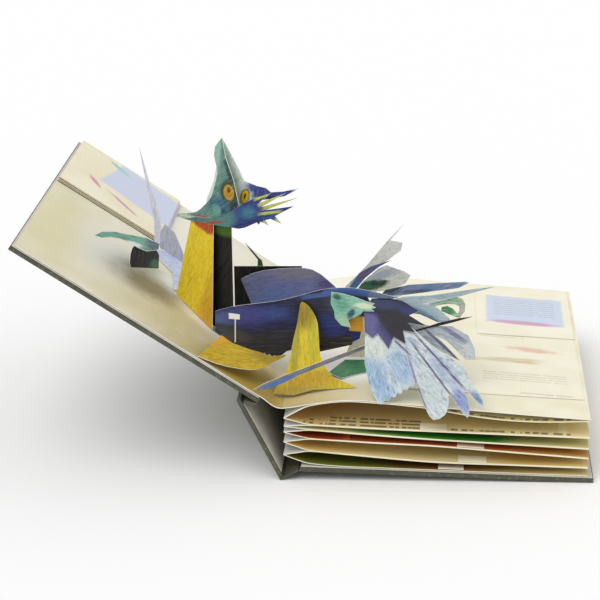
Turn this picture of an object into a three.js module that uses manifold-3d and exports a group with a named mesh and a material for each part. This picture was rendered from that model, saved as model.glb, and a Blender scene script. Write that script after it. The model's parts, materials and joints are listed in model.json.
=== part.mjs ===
// Pop-up book lying open at its first spread, with a paper crested bird standing across the gutter.
// Millimetres, +Z up. The reader's near edge of the pages faces -Y and the fore-edges lie along X.
// The book is drawn with its crease at the origin and the right-hand page level, then tilted to rest
// on the foot of its back hinge and the fore-edge of its back board.
import * as THREE from 'three';
import { mergeVertices } from 'three/addons/utils/BufferGeometryUtils.js';
import Module from 'manifold-3d';

const wasm = await Module();
wasm.setup();

// Pages and boards
const pageWidth = 204;
const leftPageWidth = 206;
const pageHeight = 257;
const leafThickness = 0.6;
const endpaperThickness = 0.3;
const boardThickness = 2.8;
const cardThickness = 0.5;
const seat = 0.3;
const foreSquare = 4;
const headSquare = 2;
const endpaperSquare = 3.4;

// Opening of the cover and the curl of the open sheet at the crease
const coverAngle = 31.8;
const creaseGap = 0.25;
const pageDrop = 1;
const curlReach = 26;
const curlDip = 1.3;

// Block of closed spreads, measured down from the crease
const blockDepth = 44.5;
const foldX = 1.5;
const joinX = 20;
const foldShares = [0.164, 0.294, 0.389, 0.548, 0.757];
const pairShares = [
  [0.258, 0.283, 0.294],
  [0.337, 0.416, 0.472],
  [0.483, 0.521, 0.625],
  [0.679, 0.78, 0.778],
];
const pocketDepth = 4.2;
const pocketStart = 95;
const packStart = 24;
const packForeInset = 6;
const packFarInset = 8;
const packInsets = [40, 16, 12, 28, 14];

// Case hinges and spine
const backBoardStart = 12.5;
const backHingeWidth = 14.4;
const backHingeAngle = 30;
const hingeThickness = 1.3;
const spineInset = 2.9;
const spineSeat = 0.6;
const liningBottom = 3;
const liningTop = 4;
const frontBoardStart = 15.6;
const frontHingeWidth = 8.6;
const frontHingeAngle = 11;
const frontHingeSeat = 0.35;
const spineOverlap = 2.25;
const spineBehind = 1.6;

// Flaps glued on the open pages
const leftFlapInner = 116;
const leftFlapNear = 151.5;
const leftFlapLift = 0.9;
const leftFlapPitch = 0.82;
const leftFlapCount = 4;
const flapMargin = 2.5;
const rightFlapInner = 60;
const rightFlapNear = 25.5;
const rightFlapSkew = 7.5;
const smallFlapInner = 131;
const smallFlapNear = 143.5;
const smallFlapHeight = 99.5;
const smallFlapSkew = 3.5;

// Paper bird: feet of its cards on the pages, then its own sizes
const neckFoot = { s: 94, y: 80.5 };
const neckNearFoot = { s: 61.5, y: 57.3 };
const neckFarFoot = { s: 44, y: 58 };
const neckHeight = 59.5;
const neckTopLean = -10.8;
const headSetOut = 0.8;
const flankFoot = { x: -50.5, y: 57.3 };
const flankSlope = -0.1;
const farFlankY = 98;
const crossCardY = 104;
const legFootLeft = { s: 8, y: 16.5 };
const legFootRight = { x: 49, y: 20 };
const tailRoot = { x: 50, y: 45.3, z: 59.2 };
const tailAngle = 45;
const featherGap = 0.4;
const greenLeafMiddle = { x: 40, y: 55 };

const DEG = Math.PI / 180;
const X = new THREE.Vector3(1, 0, 0);
const Y = new THREE.Vector3(0, 1, 0);
const Z = new THREE.Vector3(0, 0, 1);

// Colours of the papers and boards
const paint = (color, roughness = 0.7) => (
  new THREE.MeshStandardMaterial({ color, roughness, metalness: 0 }));
const coverCloth = paint(0x4a4f46, 0.6);
const liningGrey = paint(0xb3b1b8);
const cream = paint(0xefe6c6);
const tan = paint(0xc2a862);
const yellow = paint(0xe0b81f);
const teal = paint(0x5f9a86);
const navy = paint(0x272a55);
const violet = paint(0x6c70ad);
const paleBlue = paint(0xb4c6e0);
const paleGrey = paint(0xd6dad8);
const leafGreen = paint(0x3d7a52);
const blackCard = paint(0x1d1d22);

// Solids and their booleans

function toManifold(geometry) {
  const bare = geometry.clone();
  bare.deleteAttribute('normal');
  bare.deleteAttribute('uv');
  const merged = mergeVertices(bare, 1e-4);
  const mesh = new wasm.Mesh({
    numProp: 3,
    vertProperties: new Float32Array(merged.attributes.position.array),
    triVerts: new Uint32Array(merged.index.array),
  });
  return new wasm.Manifold(mesh);
}

function toGeometry(solid) {
  const { vertProperties, triVerts, numProp } = solid.getMesh();
  const geometry = new THREE.BufferGeometry();
  const positions = new Float32Array((vertProperties.length / numProp) * 3);
  for (let i = 0; i < positions.length / 3; i += 1) {
    positions.set(vertProperties.subarray(i * numProp, i * numProp + 3), i * 3);
  }
  geometry.setAttribute('position', new THREE.BufferAttribute(positions, 3));
  geometry.setIndex(new THREE.BufferAttribute(new Uint32Array(triVerts), 1));
  geometry.computeVertexNormals();
  return geometry;
}

function join(geometries) {
  return toGeometry(geometries.map(toManifold).reduce((a, b) => a.add(b)));
}

function part(name, geometry, material) {
  const mesh = new THREE.Mesh(geometry, material);
  mesh.name = name;
  return mesh;
}

// Sheets that run the height of the pages: a section in X and Z carried along Y

function alongPages(shape, near, far) {
  const geometry = new THREE.ExtrudeGeometry(shape, { depth: far - near, bevelEnabled: false, steps: 1 });
  geometry.rotateX(Math.PI / 2);
  geometry.translate(0, far, 0);
  return geometry;
}

function slab(x0, x1, z0, z1, near, far) {
  const shape = new THREE.Shape([
    new THREE.Vector2(x0, z0),
    new THREE.Vector2(x1, z0),
    new THREE.Vector2(x1, z1),
    new THREE.Vector2(x0, z1),
  ]);
  return alongPages(shape, near, far);
}

// Closed outline of a sheet of the given thickness around a centre line
function sheetShape(centre, thickness) {
  const half = thickness / 2;
  const upper = [];
  const lower = [];
  centre.forEach((point, i) => {
    const before = centre[Math.max(i - 1, 0)];
    const after = centre[Math.min(i + 1, centre.length - 1)];
    const along = after.clone().sub(before).normalize();
    const across = new THREE.Vector2(-along.y, along.x).multiplyScalar(half);
    upper.push(point.clone().add(across));
    lower.push(point.clone().sub(across));
  });
  return new THREE.Shape([...lower, ...upper.reverse()]);
}

function spline(points, count) {
  return new THREE.SplineCurve(points.map(([x, z]) => new THREE.Vector2(x, z))).getPoints(count);
}

// Height of a smooth curve of [x, z] stations at x
function heightAt(stations, x) {
  const last = stations.length - 1;
  const i = Math.min(Math.max(stations.findIndex((station) => station[0] > x) - 1, 0), last - 1);
  const k = x >= stations[last][0] ? last - 1 : i;
  const [xa, za] = stations[k];
  const [xb, zb] = stations[k + 1];
  const slopeOf = (j) => {
    const a = stations[Math.max(j - 1, 0)];
    const b = stations[Math.min(j + 1, last)];
    return (b[1] - a[1]) / (b[0] - a[0]);
  };
  const t = (x - xa) / (xb - xa);
  const run = xb - xa;
  const h00 = 2 * t ** 3 - 3 * t ** 2 + 1;
  const h10 = t ** 3 - 2 * t ** 2 + t;
  const h01 = -2 * t ** 3 + 3 * t ** 2;
  const h11 = t ** 3 - t ** 2;
  return h00 * za + h10 * run * slopeOf(k) + h01 * zb + h11 * run * slopeOf(k + 1);
}

// Upper face of the right-hand page, which springs up beside the crease
const rightPageRise = [[0, 0], [0.02, 0.4], [0.08, 3.2], [0.2, 7.4], [0.3, 7.2], [0.5, 5], [0.75, 2.4],
  [1, 0]]
  .map(([share, rise]) => [share * pageWidth, rise]);
const rightPageTop = (x) => heightAt(rightPageRise, x);

// Middle of each glued pair of leaves below it, at the join, mid-page and fore-edge. The closed spreads
// share the depth of the block between them
const backBoardTop = -(blockDepth - boardThickness);
const endpaperTop = backBoardTop + seat + endpaperThickness;
const lastLeaf = endpaperTop + seat + leafThickness / 2;
const pairLevels = pairShares.map((shares) => shares.map((share) => -share * blockDepth));
const pairStations = pairLevels.map(([atJoin, middle, fore]) => [
  [joinX, atJoin],
  [pageWidth * 0.3, (atJoin + middle) / 2 - 0.2],
  [pageWidth * 0.5, middle],
  [pageWidth * 0.75, (middle + fore) / 2],
  [pageWidth, fore],
]);
const pocket = (x) => {
  const share = (x - pocketStart) / (pageWidth - pocketStart);
  return share > 0 && share < 1 ? pocketDepth * Math.sin(Math.PI * share) : 0;
};
const topLeaf = (x) => rightPageTop(x) - 1.5 * leafThickness - seat - pocket(x);
const bottomLeaf = (x) => {
  const share = Math.min((x - joinX) / joinX, 1);
  return lastLeaf + 1.1 * (1 - share) ** 2;
};
const pairLevel = (i) => (x) => {
  if (i === 0) {
    return topLeaf(x);
  }
  return i > pairStations.length ? bottomLeaf(x) : heightAt(pairStations[i - 1], x);
};

// Folds of the closed spreads, stacked below the crease
const folds = foldShares.map((share) => -share * blockDepth);
const spreadCount = folds.length;
const pairOffset = 0.45 * leafThickness;

// One leaf from its fold to the fore-edge, above or below the middle of its glued pair
function leafSolid(foldZ, level, offset) {
  const stations = [joinX, 0.2, 0.3, 0.4, 0.5, 0.6, 0.7, 0.8, 0.9, 1];
  const points = stations.map((share, i) => {
    const x = i === 0 ? joinX : share * pageWidth;
    return [x, level(x) + offset];
  });
  const start = [foldX, foldZ];
  const middle = [(foldX + joinX) / 2, foldZ * 0.42 + points[0][1] * 0.58];
  const centre = spline([start, middle, ...points], 34);
  return alongPages(sheetShape(centre, leafThickness), 0, pageHeight);
}

function pageBlock() {
  const leaves = folds.flatMap((foldZ, k) => {
    const upperOffset = k === 0 ? 0 : -pairOffset;
    const lowerOffset = k === spreadCount - 1 ? 0 : pairOffset;
    return [
      leafSolid(foldZ, pairLevel(k), upperOffset),
      leafSolid(foldZ, pairLevel(k + 1), lowerOffset),
    ];
  });
  return part('page_block', join(leaves), cream);
}

// Folded pop-up stored in a closed spread, filling the space between its two leaves
function foldedPopup(k) {
  const leafFace = leafThickness / 2 + pairOffset + seat;
  const start = packStart;
  const end = pageWidth - packForeInset;
  const count = 14;
  const upper = [];
  const lower = [];
  for (let i = 0; i <= count; i += 1) {
    const x = start + ((end - start) * i) / count;
    upper.push(new THREE.Vector2(x, pairLevel(k)(x) - leafFace));
    lower.push(new THREE.Vector2(x, pairLevel(k + 1)(x) + leafFace));
  }
  const shape = new THREE.Shape([...lower, ...upper.reverse()]);
  const geometry = alongPages(shape, packInsets[k], pageHeight - packFarInset);
  return part(`spread_${k + 2}_folded_popup`, geometry, tan);
}

// Glue tab of a folded pop-up, lying on the lower leaf of its spread at the near edge
function glueTab(spread, x0, width, depth) {
  const level = pairLevel(spread - 1);
  const lift = leafThickness / 2 + pairOffset + seat + cardThickness / 2;
  const centre = [0, 0.25, 0.5, 0.75, 1].map((share) => {
    const x = x0 + share * width;
    return new THREE.Vector2(x, level(x) + lift);
  });
  return part(`spread_${spread}_glue_tab`, alongPages(sheetShape(centre, cardThickness), 0, depth), cream);
}

// The open sheet and the flaps glued on it

function rightSheet(name, x0, lift, thickness, near, far, material) {
  const count = 26;
  const centre = [];
  for (let i = 0; i <= count; i += 1) {
    const x = x0 + ((pageWidth - x0 - (lift > 0 ? flapMargin : 0)) * i) / count;
    centre.push(new THREE.Vector2(x, rightPageTop(x) + lift - thickness / 2));
  }
  return part(name, alongPages(sheetShape(centre, thickness), near, far), material);
}

// Cuts a sheet on the right-hand page to a slanted near edge
function skewNearEdge(mesh, x0, near, skew) {
  const below = 30;
  const outline = new THREE.Shape([
    new THREE.Vector2(x0 - 1, near),
    new THREE.Vector2(pageWidth, near + skew),
    new THREE.Vector2(pageWidth, pageHeight),
    new THREE.Vector2(x0 - 1, pageHeight),
  ]);
  const prism = new THREE.ExtrudeGeometry(outline, { depth: 2 * below, bevelEnabled: false });
  prism.translate(0, 0, -below);
  mesh.geometry = toGeometry(toManifold(mesh.geometry).intersect(toManifold(prism)));
  return mesh;
}

const flapLift = seat + cardThickness;
const rightPage = rightSheet('right_page', creaseGap, 0, leafThickness, 0, pageHeight, cream);
const rightLargeFlap = skewNearEdge(
  rightSheet('right_large_flap', rightFlapInner, flapLift, cardThickness, rightFlapNear,
    pageHeight - flapMargin, cream),
  rightFlapInner, rightFlapNear, rightFlapSkew,
);
const rightSmallFlap = skewNearEdge(
  rightSheet('right_small_flap', smallFlapInner, 2 * flapLift, cardThickness, smallFlapNear,
    smallFlapNear + smallFlapHeight, cream),
  smallFlapInner, smallFlapNear, smallFlapSkew,
);

// Left-hand page: flat on its board, then dipping and levelling out at the crease
const curlShape = (share) => 6.75 * share * (1 - share) ** 2;
const leftBend = (s) => (
  pageDrop * (1 - (1 - s / curlReach) ** 2) + curlDip * curlShape(Math.min(s / frontBoardStart, 1)));

function leftPageSheet() {
  const centre = [];
  const steps = 12;
  for (let i = 0; i <= steps; i += 1) {
    const share = i / steps;
    const s = creaseGap + share * (curlReach - creaseGap);
    centre.push(new THREE.Vector2(-s, -leftBend(s) - leafThickness / 2));
  }
  centre.push(new THREE.Vector2(-leftPageWidth, -pageDrop - leafThickness / 2));
  return part('left_page', alongPages(sheetShape(centre.reverse(), leafThickness), 0, pageHeight), cream);
}

const frontEndpaperTop = -pageDrop - leafThickness - seat;
const frontBoardTop = frontEndpaperTop - endpaperThickness - seat;
const frontBoardUnder = frontBoardTop - boardThickness;
const headNear = -headSquare;
const headFar = pageHeight + headSquare;

function caseBoards() {
  const outer = pageWidth + foreSquare;
  const front = slab(-outer, -frontBoardStart, frontBoardUnder, frontBoardTop, headNear, headFar);
  const back = slab(backBoardStart, outer, -blockDepth, backBoardTop, headNear, headFar);
  return {
    front: part('front_cover_board', front, coverCloth),
    back: part('back_cover_board', back, coverCloth),
  };
}

function endpapers() {
  const outer = pageWidth + endpaperSquare;
  const near = -headSquare + (foreSquare - endpaperSquare);
  const far = pageHeight - near;
  const frontLow = frontEndpaperTop - endpaperThickness;
  const front = slab(-outer, -frontBoardStart - 1, frontLow, frontEndpaperTop, near, far);
  const back = slab(backBoardStart + 1, outer, endpaperTop - endpaperThickness, endpaperTop, near, far);
  return {
    front: part('front_endpaper', front, liningGrey),
    back: part('back_endpaper', back, liningGrey),
  };
}

function leftFlap(i) {
  const lift = -pageDrop + seat + i * leftFlapPitch;
  const near = leftFlapNear + i * leftFlapLift;
  const inner = leftFlapInner + i * leftFlapLift;
  const geometry = slab(-leftPageWidth + seat, -inner, lift, lift + cardThickness, near,
    pageHeight - flapMargin);
  return part(`left_flap_${i + 1}`, geometry, cream);
}

// Case hinges and spine. The back hinge falls from the back board to the foot that the book rests on
const fall = backHingeAngle * DEG;
const lift = coverAngle * DEG;
const backHingeRoot = new THREE.Vector2(backBoardStart - seat, -blockDepth);
const backHingeRun = new THREE.Vector2(-Math.cos(fall), -Math.sin(fall));
const backHingeUp = new THREE.Vector2(-Math.sin(fall), Math.cos(fall));
const restFoot = backHingeRoot.clone().addScaledVector(backHingeRun, backHingeWidth);
const spinePivot = restFoot.clone()
  .addScaledVector(backHingeRun, -spineInset)
  .addScaledVector(backHingeUp, hingeThickness + spineSeat);
const restTilt = Math.atan2(-blockDepth - restFoot.y, pageWidth + foreSquare - restFoot.x);

function backHinge() {
  const geometry = slab(-backHingeWidth, 0, 0, hingeThickness, headNear, headFar);
  const mesh = part('back_hinge_strip', geometry, coverCloth);
  mesh.position.set(backHingeRoot.x, 0, backHingeRoot.y);
  mesh.rotation.y = -fall;
  return mesh;
}

// The front hinge folds back under the front board, and the spine board stands up to its far edge
const crease = new THREE.Vector2(0, 0);
const onCover = (along, height) => new THREE.Vector2(-along, height).rotateAround(crease, -lift);
const frontHingePivot = onCover(frontBoardStart, frontBoardUnder - frontHingeSeat - hingeThickness / 2);
const rise = frontHingeAngle * DEG;
const frontHingeEnd = frontHingePivot.clone()
  .add(new THREE.Vector2(-Math.cos(rise), Math.sin(rise)).multiplyScalar(frontHingeWidth));
const spineReach = frontHingeEnd.clone().sub(spinePivot);
const spineSlant = Math.atan2(-spineReach.x, spineReach.y) + Math.asin(spineBehind / spineReach.length());
const spineWidth = Math.hypot(spineReach.x, spineReach.y) + spineOverlap;

function frontHinge() {
  const geometry = slab(-frontHingeWidth, 0, -hingeThickness / 2, hingeThickness / 2, headNear, headFar);
  const mesh = part('front_hinge_strip', geometry, coverCloth);
  mesh.position.set(frontHingePivot.x, 0, frontHingePivot.y);
  mesh.rotation.y = rise;
  return mesh;
}

function spine() {
  const group = new THREE.Group();
  const board = slab(-boardThickness, 0, 0, spineWidth, headNear, headFar);
  const lining = slab(seat, seat + endpaperThickness, liningBottom, spineWidth - liningTop, headNear + 1,
    headFar - 1);
  group.add(part('spine_board', board, coverCloth), part('spine_lining', lining, liningGrey));
  group.position.set(spinePivot.x, 0, spinePivot.y);
  group.rotation.y = -spineSlant;
  return group;
}

// Places on the two pages, in the frame of the crease

const leftAlong = new THREE.Vector3(-Math.cos(lift), 0, Math.sin(lift));
const leftUp = new THREE.Vector3(Math.sin(lift), 0, Math.cos(lift));

function onLeft(s, y, h = 0) {
  return leftAlong.clone().multiplyScalar(s).addScaledVector(leftUp, h - pageDrop).setY(y);
}

function leftHeight(x) {
  const s = (-x - pageDrop * Math.sin(lift)) / Math.cos(lift);
  return onLeft(s, 0).z;
}

function onRight(x, y, h = 0) {
  return new THREE.Vector3(x, y, rightPageTop(x) + h);
}

// Flat card placed in the plane of two directions. Outline points are [along, up]

function cardFrame(origin, along, up) {
  const a = along.clone().normalize();
  const u = up.clone().addScaledVector(a, -up.dot(a)).normalize();
  return new THREE.Matrix4().makeBasis(a, u, a.clone().cross(u)).setPosition(origin);
}

function plate(outline, thickness = cardThickness) {
  const shape = new THREE.Shape(outline.map(([a, b]) => new THREE.Vector2(a, b)));
  const geometry = new THREE.ExtrudeGeometry(shape, { depth: thickness, bevelEnabled: false });
  geometry.translate(0, 0, -thickness / 2);
  return geometry;
}

function card(name, frame, outline, material) {
  const mesh = part(name, plate(outline), material);
  mesh.applyMatrix4(frame);
  return mesh;
}

// Smooth stretch through a few points, without its last point
function curve(points, count = 6) {
  return spline(points, count).slice(0, -1).map((point) => [point.x, point.y]);
}

// Row of pointed barbs from one corner to another
function barbs(from, to, count, depth) {
  const points = [];
  for (let i = 0; i < count; i += 1) {
    const tip = (i + 0.5) / count;
    const root = i / count;
    const across = [(from[1] - to[1]), (to[0] - from[0])];
    const length = Math.hypot(...across);
    points.push([from[0] + (to[0] - from[0]) * root, from[1] + (to[1] - from[1]) * root]);
    points.push([
      from[0] + (to[0] - from[0]) * tip + (across[0] / length) * depth,
      from[1] + (to[1] - from[1]) * tip + (across[1] / length) * depth,
    ]);
  }
  return points;
}

// Neck: one card folded at its front, both wings glued to the left-hand page

const cardSeat = seat + 0.5 * cardThickness + 0.05;
const neckRoot = onLeft(neckFoot.s, neckFoot.y, cardSeat);
const neckNear = onLeft(neckNearFoot.s, neckNearFoot.y, cardSeat);
const neckFar = onLeft(neckFarFoot.s, neckFarFoot.y, cardSeat);
const neckNearRun = neckNear.clone().sub(neckRoot);
const neckFarRun = neckFar.clone().sub(neckRoot);
const neckNearLength = neckNearRun.length();
const neckFarLength = neckFarRun.length();
const neckNearFrame = cardFrame(neckRoot, neckNearRun, Z);
const neckTop = new THREE.Vector3(neckTopLean, neckHeight, 0).applyMatrix4(neckNearFrame);
const neckFarFrame = cardFrame(neckRoot, neckFarRun, neckTop.clone().sub(neckRoot));
const neckTopInFar = neckTop.clone().applyMatrix4(neckFarFrame.clone().invert());

function neck() {
  const near = plate([[0, 0], [neckNearLength, 0], [7.7, 71], [neckTopLean, neckHeight]]);
  near.applyMatrix4(neckNearFrame);
  const farTop = [neckTopInFar.x, neckTopInFar.y];
  const far = plate([[0, 0], [neckFarLength, 0], [40, 28.3], [11.7, 80.5], farTop]);
  far.applyMatrix4(neckFarFrame);
  return part('neck_fold', join([near, far]), yellow);
}

// A card frame moved towards the reader along its own normal
const outward = (frame, distance) => (
  frame.clone().multiply(new THREE.Matrix4().makeTranslation(0, 0, distance)));

// Head: two crested masks outside the neck's wings, and a cheek with barbed plumes before the near one

function nearMask() {
  const brow = curve([[-23.2, 52.1], [-20.5, 57], [-9, 66.7], [-3.4, 77.8], [-0.8, 86.8], [-1.8, 97]], 12);
  const crest = curve([[-1.8, 97], [-2.9, 105], [-6.6, 109.5], [-11, 114.5], [-12.6, 120.7]], 8);
  const nape = curve([[-8.5, 128], [-1.8, 119.9], [6.8, 113.4], [13.2, 108.3], [18.5, 101.5]], 8);
  const chin = [[23.4, 97.4], [19.4, 89.8], [9, 70], [-2, 63.5], [-10, 58.5]];
  const outline = [...brow, ...crest, [-12.6, 120.7], [-10, 129.3], ...nape, ...chin];
  return card('head_near_mask', outward(neckNearFrame, headSetOut), outline, teal);
}

function farMask() {
  const crest = curve([[-20.3, 125.8], [-11.2, 121], [-2.2, 116.2], [7.7, 110.1]], 7);
  const plume = [[7.7, 110.1], [17.3, 113.4], [24, 116.8], [28.4, 116.6], [36, 123.4], [45.3, 133.8],
    [38.5, 121.4]];
  const chin = [[30, 112], [25.2, 107.2], [19.1, 97.9], [9, 72], [-6, 62], [-11, 80], [-12.3, 95]];
  return card('head_far_mask', outward(neckFarFrame, -headSetOut), [...crest, ...plume, ...chin], teal);
}

function cheek() {
  const upper = curve([[-19, 56.2], [-11.7, 61.8], [-4.8, 66.2], [6.2, 74], [15.1, 83.9], [20.9, 91.9],
    [32.1, 110.2]], 14);
  const spikes = [[32.1, 110.2], [44.1, 124.3], [38, 111.2], [55.4, 133], [40.8, 110], [65.6, 137.1],
    [45.2, 110.8]];
  const barbTips = [[64.9, 129.4], [56.6, 116.6], [54, 112.6], [61.3, 111.8], [51.6, 108.4],
    [47.8, 104.4], [52.5, 103.4]];
  const throat = [[45, 101], [44.4, 97.9], [42.4, 98.2]];
  const lower = curve([[37.9, 92], [32, 84.6], [23.9, 79.4], [10.5, 71], [-2.4, 65.2], [-10.7, 60],
    [-19, 55.2]], 10);
  const outline = [...upper, ...spikes, ...barbTips, ...throat, ...lower, [-19, 55.2]];
  return card('head_cheek_plume', outward(neckNearFrame, 2 * headSetOut), outline, violet);
}

// Body: near and far flanks, with the cards between and before them. Up is Z in these frames

const flankRoot = new THREE.Vector3(flankFoot.x, flankFoot.y, 0);
const flankFrame = cardFrame(flankRoot, new THREE.Vector3(1, flankSlope, 0), Z);
const acrossPages = (y) => cardFrame(new THREE.Vector3(0, y, 0), X, Z);
const standOnLeft = (x) => [x, leftHeight(x) + seat + 0.3];

function nearFlank() {
  const top = curve([[0, 46], [13.8, 50.6], [41.5, 56.2], [60, 61.9], [75, 67.2], [91.6, 69.4],
    [104.6, 68.4], [115.9, 66.5]], 18);
  const strap = [[115.9, 66.5], [126.3, 64.4], [116, 63.5], [105, 63.3], [106.5, 60.5], [106.5, 50]];
  const tab = [[102, 48.8], [102.3, 39.2], [101, 38.6], [100.2, 33.5], [95.9, 30.8], [93, 36.5]];
  const belly = [[72.9, 28.1], [50.1, 20.5]];
  const fringe = barbs([45.3, 16.4], [16.6, 20.8], 8, 1.6);
  const outline = [...top, ...strap, ...tab, ...belly, ...fringe, [16.6, 20.8], [0, 31.2]];
  return card('near_flank', flankFrame, outline, navy);
}

function slotTab() {
  const slit = 13.8;
  const stem = [[slit, 24.6], [slit + 0.8, 24.6], [slit + 0.8, 41.4]];
  const head = [[17.3, 41.4], [17.3, 45], [9.6, 45.5], [9.6, 41.4]];
  const outline = [...stem, ...head, [slit, 41.4]];
  return card('flank_slot_tab', outward(flankFrame, headSetOut), outline, paleGrey);
}

function bellyCard() {
  const outline = [[52, 30], [50, 22], [73, 21.6], [94.9, 28.3], [97, 38], [90, 44]];
  return card('belly_card', outward(flankFrame, -headSetOut), outline, blackCard);
}

function farFlank() {
  const back = curve([[-29.8, 38.7], [-35.3, 52.3], [-35.8, 56.5], [-21.9, 62.4], [2.2, 65.4], [15.7, 63.5],
    [29.2, 52.7], [34, 48]], 16);
  const under = [[34, 48], [36, 40], [24, 33], [6, 28], [-8, 18], standOnLeft(-20), standOnLeft(-31)];
  return card('far_flank', acrossPages(farFlankY), [...back, ...under], violet);
}

function crossCard() {
  const outline = [[-42.3, 63.2], [5.6, 64.9], [4, 30], [-8, 16], standOnLeft(-20), standOnLeft(-41.5)];
  return card('inner_cross_card', acrossPages(crossCardY), outline, blackCard);
}

function backQuill() {
  const stick = [[-35.2, 80.9], [-30.4, 74.3], [-25.6, 68.3], [-25.8, 64], [-27, 56], [-23.5, 56],
    [-21.9, 64]];
  const outline = [...stick, [-22.8, 68], [-24.8, 69.6], [-29.6, 75.2]];
  return card('back_quill', acrossPages(crossCardY + featherGap + cardThickness), outline, blackCard);
}

// Legs, foot and the long feather laid against them

const legLeft = onLeft(legFootLeft.s, legFootLeft.y, pageDrop - leftBend(legFootLeft.s) + cardSeat);
const legRight = onRight(legFootRight.x, legFootRight.y, 0.9);
const legTop = new THREE.Vector3(12, 49.4, 56.6);
const legFrame = cardFrame(legLeft, legRight.clone().sub(legLeft), legTop.clone().sub(legLeft));
const legSpan = legRight.distanceTo(legLeft);

function nearLeg() {
  const shin = curve([[0, 0], [11, 16.7], [15.5, 34], [19.2, 46], [22, 59]], 9);
  const calf = curve([[22, 59], [23.6, 61.4], [28.2, 57.9], [32.8, 48.6], [33.4, 37.9], [33.5, 24.8],
    [36.4, 15], [41.5, 7.8]], 15);
  const toe = [[41.5, 7.8], [legSpan, 0], [27, 0.6], [14, -2.2]];
  return card('near_leg', legFrame, [...shin, ...calf, ...toe], yellow);
}

function farLeg() {
  const at = onRight(44, 0).z + seat + 0.3;
  const outline = [[38, at], [58, onRight(58, 0).z + seat + 0.4], [53, 24], [51, 40], [47, 44], [43, 40],
    [43, 22]];
  return card('far_leg', acrossPages(78), outline, yellow);
}

function leftFoot() {
  const heel = onLeft(66, 0, 0.8);
  const frame = cardFrame(heel, leftAlong.clone().negate().addScaledVector(leftUp, 0.12),
    new THREE.Vector3(0, 1, 0.4));
  const toes = curve([[9.8, 29.3], [18, 27], [23.5, 27.7], [30.9, 28.6], [38.9, 30.7], [47.1, 32.4],
    [54.9, 39.6]], 12);
  const sole = curve([[55.3, 37.8], [48.6, 26.3], [41.9, 14.9], [29, 6.7], [13.7, 1.6], [0.3, 0.4]], 10);
  return card('left_foot', frame, [...toes, [54.9, 39.6], ...sole, [0.3, 0.4]], yellow);
}

function greyFeather() {
  const from = new THREE.Vector3(-19.5, 1.2, 11.5);
  const to = new THREE.Vector3(53.8, 28, 35);
  const run = to.clone().sub(from);
  const length = run.length();
  const outline = [[0, 0], [8, -2.4], [20, -3.2], [31, -1.7], [length, -1.4], [length, 1.3], [24, 1.9],
    [9, 1.6]];
  return card('long_grey_feather', cardFrame(from, run, Z), outline, violet);
}

function greenLeaf() {
  const outline = [[-11.3, -8.3], [-2.6, -18.5], [13.9, -5.8], [13, 17.8], [-1.5, 16.3]];
  const highest = Math.max(...outline.map(([x]) => rightPageTop(greenLeafMiddle.x + x)));
  const { x, y } = greenLeafMiddle;
  const frame = cardFrame(new THREE.Vector3(x, y, highest + cardSeat), X, Y);
  return card('green_leaf', frame, outline, leafGreen);
}

function ruff() {
  const from = new THREE.Vector3(28.4, 48.6, 0);
  const collar = [[0.8, 65.9], [0.6, 57.6], [3.2, 52.6], [3.9, 47.6], [8.8, 43.2], [15.7, 42.8],
    [13.9, 48], [22.7, 53.3]];
  const fingers = [[24.5, 56], [32.5, 57.2], [30.3, 58.7], [33.9, 60], [30.9, 61], [33, 62.8],
    [26.7, 63.3], [18.2, 65.1]];
  const outline = [...collar, ...fingers, [8.8, 66.1]];
  return card('green_ruff', cardFrame(from, new THREE.Vector3(1, -0.4, 0), Z), outline, teal);
}

// Wing and tail fans on the body's right end, each cut from one card

const slope = tailAngle * DEG;
const fanUp = new THREE.Vector3(0, Math.cos(slope), Math.sin(slope));
const fanFrame = cardFrame(new THREE.Vector3(tailRoot.x, tailRoot.y, tailRoot.z), X, fanUp);
const midFrame = cardFrame(new THREE.Vector3(tailRoot.x, tailRoot.y + 2, tailRoot.z), X,
  new THREE.Vector3(0, 0.3, 0.95));

function coverts() {
  const lobes = [[3.2, -21.4], [8.3, -25.7], [11.7, -22.1], [19.3, -33.1], [22.1, -24.1], [30.5, -29.2],
    [28.3, -19.3]];
  const tips = [[36.7, -20.6], [31.3, -13.6], [43.7, -15.4], [32, -8], [38.6, -4.7], [27.4, 2.4],
    [18.3, 4.2]];
  const outline = [[1.6, -6.1], ...lobes, ...tips, [6.6, 3.6]];
  return card('wing_coverts', outward(fanFrame, cardThickness + 2 * featherGap), outline, navy);
}

function nearTail() {
  const fringe = barbs([14.2, -72.4], [37.9, -56.1], 6, -1.8);
  const panel = [[12, -4], [3, -6], [3.2, -21.4], [3.7, -42.9], [8, -61.1], ...fringe, [37.9, -56.1]];
  const wide = curve([[38.9, -57.5], [45, -74], [50.5, -82.3], [58.3, -78.2], [60.3, -69.5],
    [59.2, -61.9]], 10);
  const long = curve([[61.5, -63.5], [66.9, -73.1], [72.8, -79.9], [73.8, -73.7], [71.6, -65.3],
    [69.2, -58.7]], 10);
  const inner = curve([[73, -61.3], [83.1, -72.4], [79.8, -61.1], [73.5, -53.7], [68.9, -43.2],
    [52.7, -33]], 10);
  const outline = [...panel, ...wide, ...long, ...inner, [52.7, -33], [36, -18], [22, -6]];
  return card('near_tail_fan', fanFrame, outline, paleBlue);
}

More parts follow.
